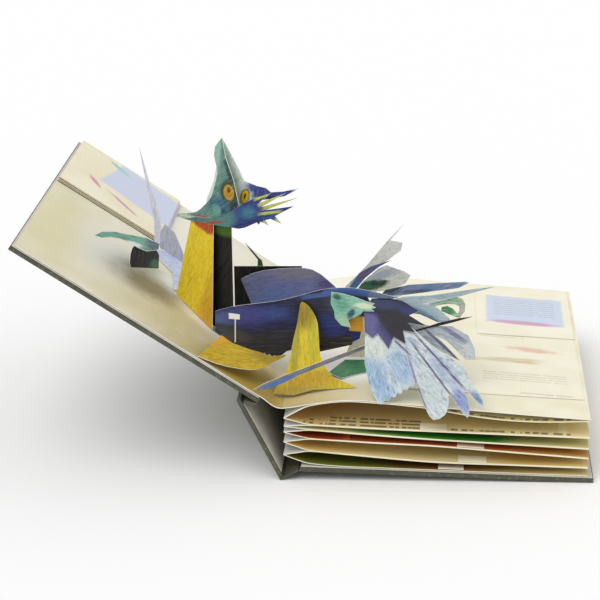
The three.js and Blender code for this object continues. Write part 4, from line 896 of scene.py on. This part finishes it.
@dataclass
class OpenSheet:
    """An open page or a flap glued on one: a finer copy of its node, printed above, and at its rim cream, or darker
    where the rim is painted shade for the gaps between stacked flaps.
    """

    node: str
    plane: SheetPlane
    finish: Finish
    body: str
    closes_crease: bool = False
    rim: Finish = Finish.CUT_EDGE
    crease_reach: float = 0.45

    def build(self) -> bpy.types.Object:
        """Makes the printed sheet in place of its node."""
        piece = finer_copy(self.node, 14.0)
        mesh = piece.data
        if self.closes_crease:
            self.close_crease(mesh)
        sides = lay_sheet(mesh, (self.plane,), None)
        mesh.materials.clear()
        for finish in (self.rim, self.finish, Finish.LEAF):
            mesh.materials.append(finish.material)
        upward = 1 if self.plane.normal()[2] > 0 else -1
        mesh.polygons.foreach_set("material_index", np.select([sides * upward > 0, sides * upward < 0], [1, 2], 0)
                                  .astype(np.int32))
        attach(piece, self.body)
        stand_for(piece, self.node)
        return piece

    def close_crease(self, mesh: bpy.types.Mesh) -> None:
        """Draws the end of the sheet to the crease, where the two pages are one folded sheet."""
        shift = PLACE.turned(-0.25 if self.body == BLOCK else 0.25, 0.0, 0.0) * MM
        points = PLACE.book(mesh_points(mesh))
        for vertex, place in zip(mesh.vertices, points):
            if abs(place[0]) < self.crease_reach + LEAF / 2:
                vertex.co += shift


@dataclass
class StackedLeaves:
    """The closed spreads: their leaves, printed inside, and the folded card stored in each.

    Heights are read from the CAD nodes. Sizes are in millimetres.
    """

    inside: tuple[Finish, ...] = (Finish.SPREAD_2, Finish.SPREAD_3, Finish.SPREAD_4, Finish.SPREAD_5, Finish.SPREAD_6)
    folds: tuple[float, ...] = (-7.3, -13.1, -17.3, -24.4, -33.7)
    fold_x: float = 1.5
    join_x: float = 24.0
    leaf_face: float = 0.87
    tabs: tuple[str, ...] = ("spread_2_glue_tab", "spread_4_glue_tab", "spread_5_glue_tab", "spread_6_glue_tab")
    cards: tuple[int, ...] = (5, 3, 3, 4, 4)
    seed: int = 7

    def pocket(self, k: int) -> tuple[np.ndarray, np.ndarray]:
        """The lower and upper faces of the card solid stored in a closed spread.

        Args:
            k: the spread's number from the top, from 0.

        Returns:
            Rows of x and z of the lower face, and of the upper face, in millimetres.
        """
        points = PLACE.book(mesh_points(frame["nodes"][f"spread_{k + 2}_folded_popup"].data))
        near = points[points[:, 1] < points[:, 1].min() + 1.0]
        columns = np.unique(np.round(near[:, 0], 1))
        groups = [near[np.abs(near[:, 0] - x) < 0.2, 2] for x in columns]
        low = np.array([(x, z.min()) for x, z in zip(columns, groups)])
        high = np.array([(x, z.max()) for x, z in zip(columns, groups)])
        return low, high

    def leaf_heights(self, k: int, x: np.ndarray) -> tuple[np.ndarray, np.ndarray]:
        """The middles of a closed spread's lower and upper leaves at each x."""
        low, high = self.pocket(k)
        heights = []
        for wall, offset in ((low, -self.leaf_face), (high, self.leaf_face)):
            stations = np.concatenate(([self.fold_x], wall[:, 0]))
            levels = np.concatenate(([self.folds[k]], wall[:, 1] + offset))
            heights.append(np.interp(x, stations, levels))
        return heights[0], heights[1]

    def print_leaves(self) -> None:
        """Colours the block's leaves: printed inside each spread, white at their backs, cream at the rim."""
        piece = finer_copy("page_block", 400.0)
        mesh = piece.data
        mesh.materials.clear()
        for finish in (Finish.LEAF, Finish.LEAF_BACK, *self.inside):
            mesh.materials.append(finish.material)
        centres = PLACE.book(face_values(mesh, "center", 3))
        normals = face_values(mesh, "normal", 3)
        x, z = centres[:, 0], centres[:, 2]
        best = np.full(len(x), 1e9)
        slots = np.zeros(len(x), dtype=np.int32)
        for k in range(len(self.inside)):
            lower, upper = self.leaf_heights(k, x)
            for middle, inner in ((lower, 1), (upper, -1)):
                gap = np.abs(z - middle - 0.25 * np.sign(normals[:, 2]))
                printed = normals[:, 2] * inner > 0
                closer = (gap < best) & (np.abs(normals[:, 1]) < 0.5) & (x < 203.0) & (printed | (x < self.join_x))
                slots[closer] = np.where(printed[closer], k + 2, 1)
                best[closer] = gap[closer]
        mesh.polygons.foreach_set("material_index", slots)
        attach(piece, BLOCK)
        stand_for(piece, "page_block")

    def card_tree(self) -> bpy.types.GeometryNodeTree:
        """The tree that fills a pocket with folded cards: copies of its floor, lifted, set back and thickened."""
        tree = bpy.data.node_groups.new("stored_cards", "GeometryNodeTree")
        face = tree.interface
        face.new_socket("Geometry", in_out="INPUT", socket_type="NodeSocketGeometry")
        for name, kind, value in (("Cards", "Int", 3), ("Thickness", "Float", 0.0005), ("Set Back", "Float", 0.03),
                                  ("Seed", "Int", 1)):
            face.new_socket(name, in_out="INPUT", socket_type="NodeSocket" + kind).default_value = value
        face.new_socket("Upper", in_out="INPUT", socket_type="NodeSocketMaterial")
        face.new_socket("Rim", in_out="INPUT", socket_type="NodeSocketMaterial")
        face.new_socket("Geometry", in_out="OUTPUT", socket_type="NodeSocketGeometry")
        nodes, links = tree.nodes, tree.links

        def add(kind: str, **settings: object) -> bpy.types.Node:
            """Adds a node of the tree with its properties set."""
            node = nodes.new(kind)
            for key, value in settings.items():
                setattr(node, key, value)
            return node

        start = add("NodeGroupInput")
        whole = add("GeometryNodeGeometryToInstance")
        links.new(start.outputs["Geometry"], whole.inputs[0])
        copies = add("GeometryNodeDuplicateElements", domain="INSTANCE")
        links.new(whole.outputs[0], copies.inputs["Geometry"])
        links.new(start.outputs["Cards"], copies.inputs["Amount"])
        stored = add("GeometryNodeStoreNamedAttribute", data_type="FLOAT", domain="INSTANCE")
        stored.inputs["Name"].default_value = "card"
        links.new(copies.outputs["Geometry"], stored.inputs["Geometry"])
        links.new(copies.outputs["Duplicate Index"], stored.inputs["Value"])
        real = add("GeometryNodeRealizeInstances")
        links.new(stored.outputs[0], real.inputs[0])

        def named(name: str) -> bpy.types.NodeSocket:
            """A named attribute as a number."""
            node = add("GeometryNodeInputNamedAttribute", data_type="FLOAT")
            node.inputs[0].default_value = name
            return node.outputs[0]

        def step(operation: str, a: object, b: object) -> bpy.types.NodeSocket:
            """One arithmetic step."""
            node = add("ShaderNodeMath", operation=operation)
            for index, value in enumerate((a, b)):
                if isinstance(value, bpy.types.NodeSocket):
                    links.new(value, node.inputs[index])
                else:
                    node.inputs[index].default_value = value
            return node.outputs[0]

        card = named("card")
        share = step("DIVIDE", step("ADD", card, 0.4), start.outputs["Cards"])
        lift = step("MULTIPLY", named("rise"), share)
        chance = add("FunctionNodeRandomValue", data_type="FLOAT")
        links.new(card, chance.inputs["ID"])
        links.new(start.outputs["Seed"], chance.inputs["Seed"])
        back = step("MULTIPLY", step("MULTIPLY", chance.outputs[1], start.outputs["Set Back"]), named("near"))
        offset = add("ShaderNodeCombineXYZ")
        links.new(back, offset.inputs[1])
        links.new(lift, offset.inputs[2])
        place = add("GeometryNodeSetPosition")
        links.new(real.outputs[0], place.inputs["Geometry"])
        links.new(offset.outputs[0], place.inputs["Offset"])
        under = add("GeometryNodeFlipFaces")
        links.new(place.outputs[0], under.inputs[0])
        thick = add("GeometryNodeExtrudeMesh", mode="FACES")
        thick.inputs["Individual"].default_value = False
        links.new(place.outputs[0], thick.inputs["Mesh"])
        links.new(start.outputs["Thickness"], thick.inputs["Offset Scale"])
        painted = add("GeometryNodeSetMaterial")
        links.new(thick.outputs["Mesh"], painted.inputs["Geometry"])
        links.new(start.outputs["Upper"], painted.inputs["Material"])
        rim = add("GeometryNodeSetMaterial")
        links.new(painted.outputs[0], rim.inputs["Geometry"])
        links.new(thick.outputs["Side"], rim.inputs["Selection"])
        links.new(start.outputs["Rim"], rim.inputs["Material"])
        beneath = add("GeometryNodeSetMaterial")
        links.new(under.outputs[0], beneath.inputs["Geometry"])
        links.new(start.outputs["Upper"], beneath.inputs["Material"])
        both = add("GeometryNodeJoinGeometry")
        links.new(rim.outputs[0], both.inputs[0])
        links.new(beneath.outputs[0], both.inputs[0])
        end = add("NodeGroupOutput")
        links.new(both.outputs[0], end.inputs[0])
        return tree

    def floor_of(self, k: int) -> bpy.types.Object:
        """The floor of a closed spread as a grid, with its pocket's height at each point.

        Args:
            k: the spread's number from the top, from 0.

        Returns:
            An object holding the grid.
        """
        low, high = self.pocket(k)
        near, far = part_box(f"spread_{k + 2}_folded_popup")[0].y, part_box(f"spread_{k + 2}_folded_popup")[1].y
        y_near, y_far = (near - PLACE.near) / MM, (far - PLACE.near) / MM
        rows = (y_near, y_near + (y_far - y_near) * 0.35, y_far)
        points = [PLACE.point(x, y, z) for y in rows for x, z in low]
        count = len(low)
        faces = [(r * count + i, r * count + i + 1, (r + 1) * count + i + 1, (r + 1) * count + i)
                 for r in range(len(rows) - 1) for i in range(count - 1)]
        mesh = bpy.data.meshes.new(f"spread_{k + 2}_floor")
        mesh.from_pydata([tuple(p) for p in points], [], faces)
        rise = np.tile((high[:, 1] - low[:, 1]) * MM - 0.0006, len(rows))
        mesh.attributes.new("rise", "FLOAT", "POINT").data.foreach_set("value", np.maximum(rise, 0.0002))
        at_near = np.repeat([1.0, 0.0, 0.0], count)
        mesh.attributes.new("near", "FLOAT", "POINT").data.foreach_set("value", at_near)
        piece = bpy.data.objects.new(f"spread_{k + 2}_cards", mesh)
        bpy.context.scene.collection.objects.link(piece)
        return piece

    def store_cards(self) -> None:
        """Fills each closed spread with its folded cards."""
        tree = self.card_tree()
        ids = {s.name: s.identifier for s in tree.interface.items_tree if s.in_out == "INPUT"}
        for k, finish in enumerate(self.inside):
            piece = self.floor_of(k)
            grow = piece.modifiers.new("stored_cards", "NODES")
            grow.node_group = tree
            for name, value in (("Cards", self.cards[k]), ("Set Back", 0.035), ("Seed", self.seed + k),
                                ("Upper", finish.material), ("Rim", Finish.CUT_EDGE.material)):
                grow[ids[name]] = value
            depsgraph = bpy.context.evaluated_depsgraph_get()
            mesh = bpy.data.meshes.new_from_object(piece.evaluated_get(depsgraph), depsgraph=depsgraph)
            piece.modifiers.remove(grow)
            piece.data = mesh
            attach(piece, BLOCK)
            stand_for(piece, f"spread_{k + 2}_folded_popup")

    def build(self) -> None:
        """Dresses the leaves, the stored cards and the glue tabs."""
        self.print_leaves()
        self.store_cards()
        for name in self.tabs:
            dress(name, Finish.LEAF.material)


@dataclass
class Pages:
    """The open pages and their flaps."""

    sheets: tuple[OpenSheet, ...] = (
        OpenSheet("left_page", Planes.left_page, Finish.LEFT_PAGE, COVER, True),
        OpenSheet("right_page", Planes.right_page, Finish.RIGHT_PAGE, BLOCK, True),
        # The dark rims of the first two flaps are painted shade for the gaps between the stacked flaps.
        OpenSheet("left_flap_1", Planes.left_page, Finish.LEFT_FLAP, COVER, rim=Finish.RIM_SHADE),
        OpenSheet("left_flap_2", Planes.left_page, Finish.LEFT_FLAP, COVER, rim=Finish.RIM_CREAM_SHADED),
        OpenSheet("left_flap_3", Planes.left_page, Finish.LEFT_FLAP, COVER, rim=Finish.RIM_RED),
        OpenSheet("left_flap_4", Planes.left_page, Finish.LEFT_FLAP, COVER),
        OpenSheet("right_large_flap", Planes.right_page, Finish.LARGE_FLAP, BLOCK),
        OpenSheet("right_small_flap", Planes.right_page, Finish.SMALL_FLAP, BLOCK),
    )

    def build(self) -> None:
        """Makes every open sheet."""
        for sheet in self.sheets:
            sheet.build()


def dress(node: str, *materials: bpy.types.Material) -> None:
    """Gives a CAD node its materials."""
    mesh = frame["nodes"][node].data
    mesh.materials.clear()
    for material in materials:
        mesh.materials.append(material)


@dataclass
class Case:
    """The boards, hinges, spine and linings: CAD nodes that keep their shape."""

    cloth: tuple[str, ...] = ("front_cover_board", "front_hinge_strip", "spine_board", "back_cover_board",
                              "back_hinge_strip")
    grey: tuple[str, ...] = ("front_endpaper", "back_endpaper", "spine_lining")

    def build(self) -> None:
        """Dresses the case."""
        for names, finish in ((self.cloth, Finish.CLOTH), (self.grey, Finish.LINING)):
            for name in names:
                dress(name, finish.material)


@dataclass
class PhotoCamera:
    """The camera at the photograph's viewing angle, fitted to the book's own corners.

    Angles are in degrees from the level book; pixels are those of the 600 by 600 frame.
    """

    azimuth: float = -3.964
    elevation: float = 19.444
    focal_px: float = 2020.14
    frame_px: float = 600.0
    place_mm: tuple[float, float, float] = (97.855, -1236.399, 513.811)
    roll: float = 1.268
    sensor_mm: float = 36.0

    def build(self) -> bpy.types.Object:
        """Makes the camera and sets it as the scene's."""
        az, el = math.radians(self.azimuth), math.radians(self.elevation)
        forward = Vector((math.sin(az) * math.cos(el), math.cos(az) * math.cos(el), -math.sin(el)))
        right = Vector((math.cos(az), -math.sin(az), 0.0))
        up = right.cross(forward)
        turn = Matrix.Rotation(math.radians(self.roll), 3, "Y")
        basis = turn @ Matrix((right, up, -forward)).transposed()
        crease = Vector((PLACE.crease.x, PLACE.near, PLACE.crease.z))
        data = bpy.data.cameras.new("photo_camera")
        data.sensor_width = self.sensor_mm
        data.lens = self.sensor_mm * self.focal_px / self.frame_px
        data.clip_start, data.clip_end = 0.1, 20.0
        camera = bpy.data.objects.new("photo_camera", data)
        camera.matrix_world = Matrix.Translation(crease + turn @ (Vector(self.place_mm) * MM)) @ basis.to_4x4()
        bpy.context.scene.collection.objects.link(camera)
        bpy.context.scene.camera = camera
        return camera


@dataclass
class Studio:
    """A pale floor, an even pale world and one wide soft light."""

    floor_half: float = 6.0
    world_strength: float = 0.68
    sun_strength: float = 1.25
    sun_angle: float = 50.0
    sun_from: Triple = (-0.35, -0.55, 1.0)

    def floor(self) -> None:
        """Makes the white floor, which keeps the object's shadow."""
        mesh = bpy.data.meshes.new("floor")
        h = self.floor_half
        mesh.from_pydata([(-h, -h, 0), (h, -h, 0), (h, h, 0), (-h, h, 0)], [], [(0, 1, 2, 3)])
        floor = bpy.data.objects.new("floor", mesh)
        bpy.context.scene.collection.objects.link(floor)
        shader = Shader("floor_white")
        mesh.materials.append(shader.finish(rgb("fdfdfd"), 0.9, gloss=0.0))

    def world(self) -> None:
        """Makes the world: white to the camera and in reflections, an even pale light on the object."""
        world = bpy.data.worlds.new("studio")
        bpy.context.scene.world = world
        world.use_nodes = True
        tree = world.node_tree
        background = tree.nodes["Background"]
        path = tree.nodes.new("ShaderNodeLightPath")
        seen = tree.nodes.new("ShaderNodeMath")
        seen.operation = "MAXIMUM"
        tree.links.new(path.outputs["Is Camera Ray"], seen.inputs[0])
        tree.links.new(path.outputs["Is Glossy Ray"], seen.inputs[1])
        strength = tree.nodes.new("ShaderNodeMapRange")
        strength.inputs["To Min"].default_value = self.world_strength
        strength.inputs["To Max"].default_value = 1.0
        tree.links.new(seen.outputs[0], strength.inputs[0])
        tree.links.new(strength.outputs[0], background.inputs["Strength"])
        background.inputs["Color"].default_value = (1.0, 1.0, 1.0, 1.0)

    def light(self) -> None:
        """Makes the wide soft light."""
        data = bpy.data.lights.new("soft_light", "SUN")
        data.energy = self.sun_strength
        data.angle = math.radians(self.sun_angle)
        lamp = bpy.data.objects.new("soft_light", data)
        lamp.rotation_mode = "QUATERNION"
        lamp.rotation_quaternion = (-Vector(self.sun_from)).to_track_quat("-Z", "Y")
        bpy.context.scene.collection.objects.link(lamp)

    def build(self) -> None:
        """Makes the whole studio."""
        self.floor()
        self.world()
        self.light()
        bpy.context.scene.view_settings.view_transform = "Standard"


def main() -> None:
    """Builds the camera, the studio and each part of the book."""
    logging.basicConfig(level=logging.INFO, format="%(name)s %(message)s")
    PhotoCamera().build()
    Studio().build()
    for part in (Case(), StackedLeaves(), Pages(), Bird()):
        part.build()
        LOG.info("built %s", type(part).__name__)


if __name__ == "__main__":
    main()
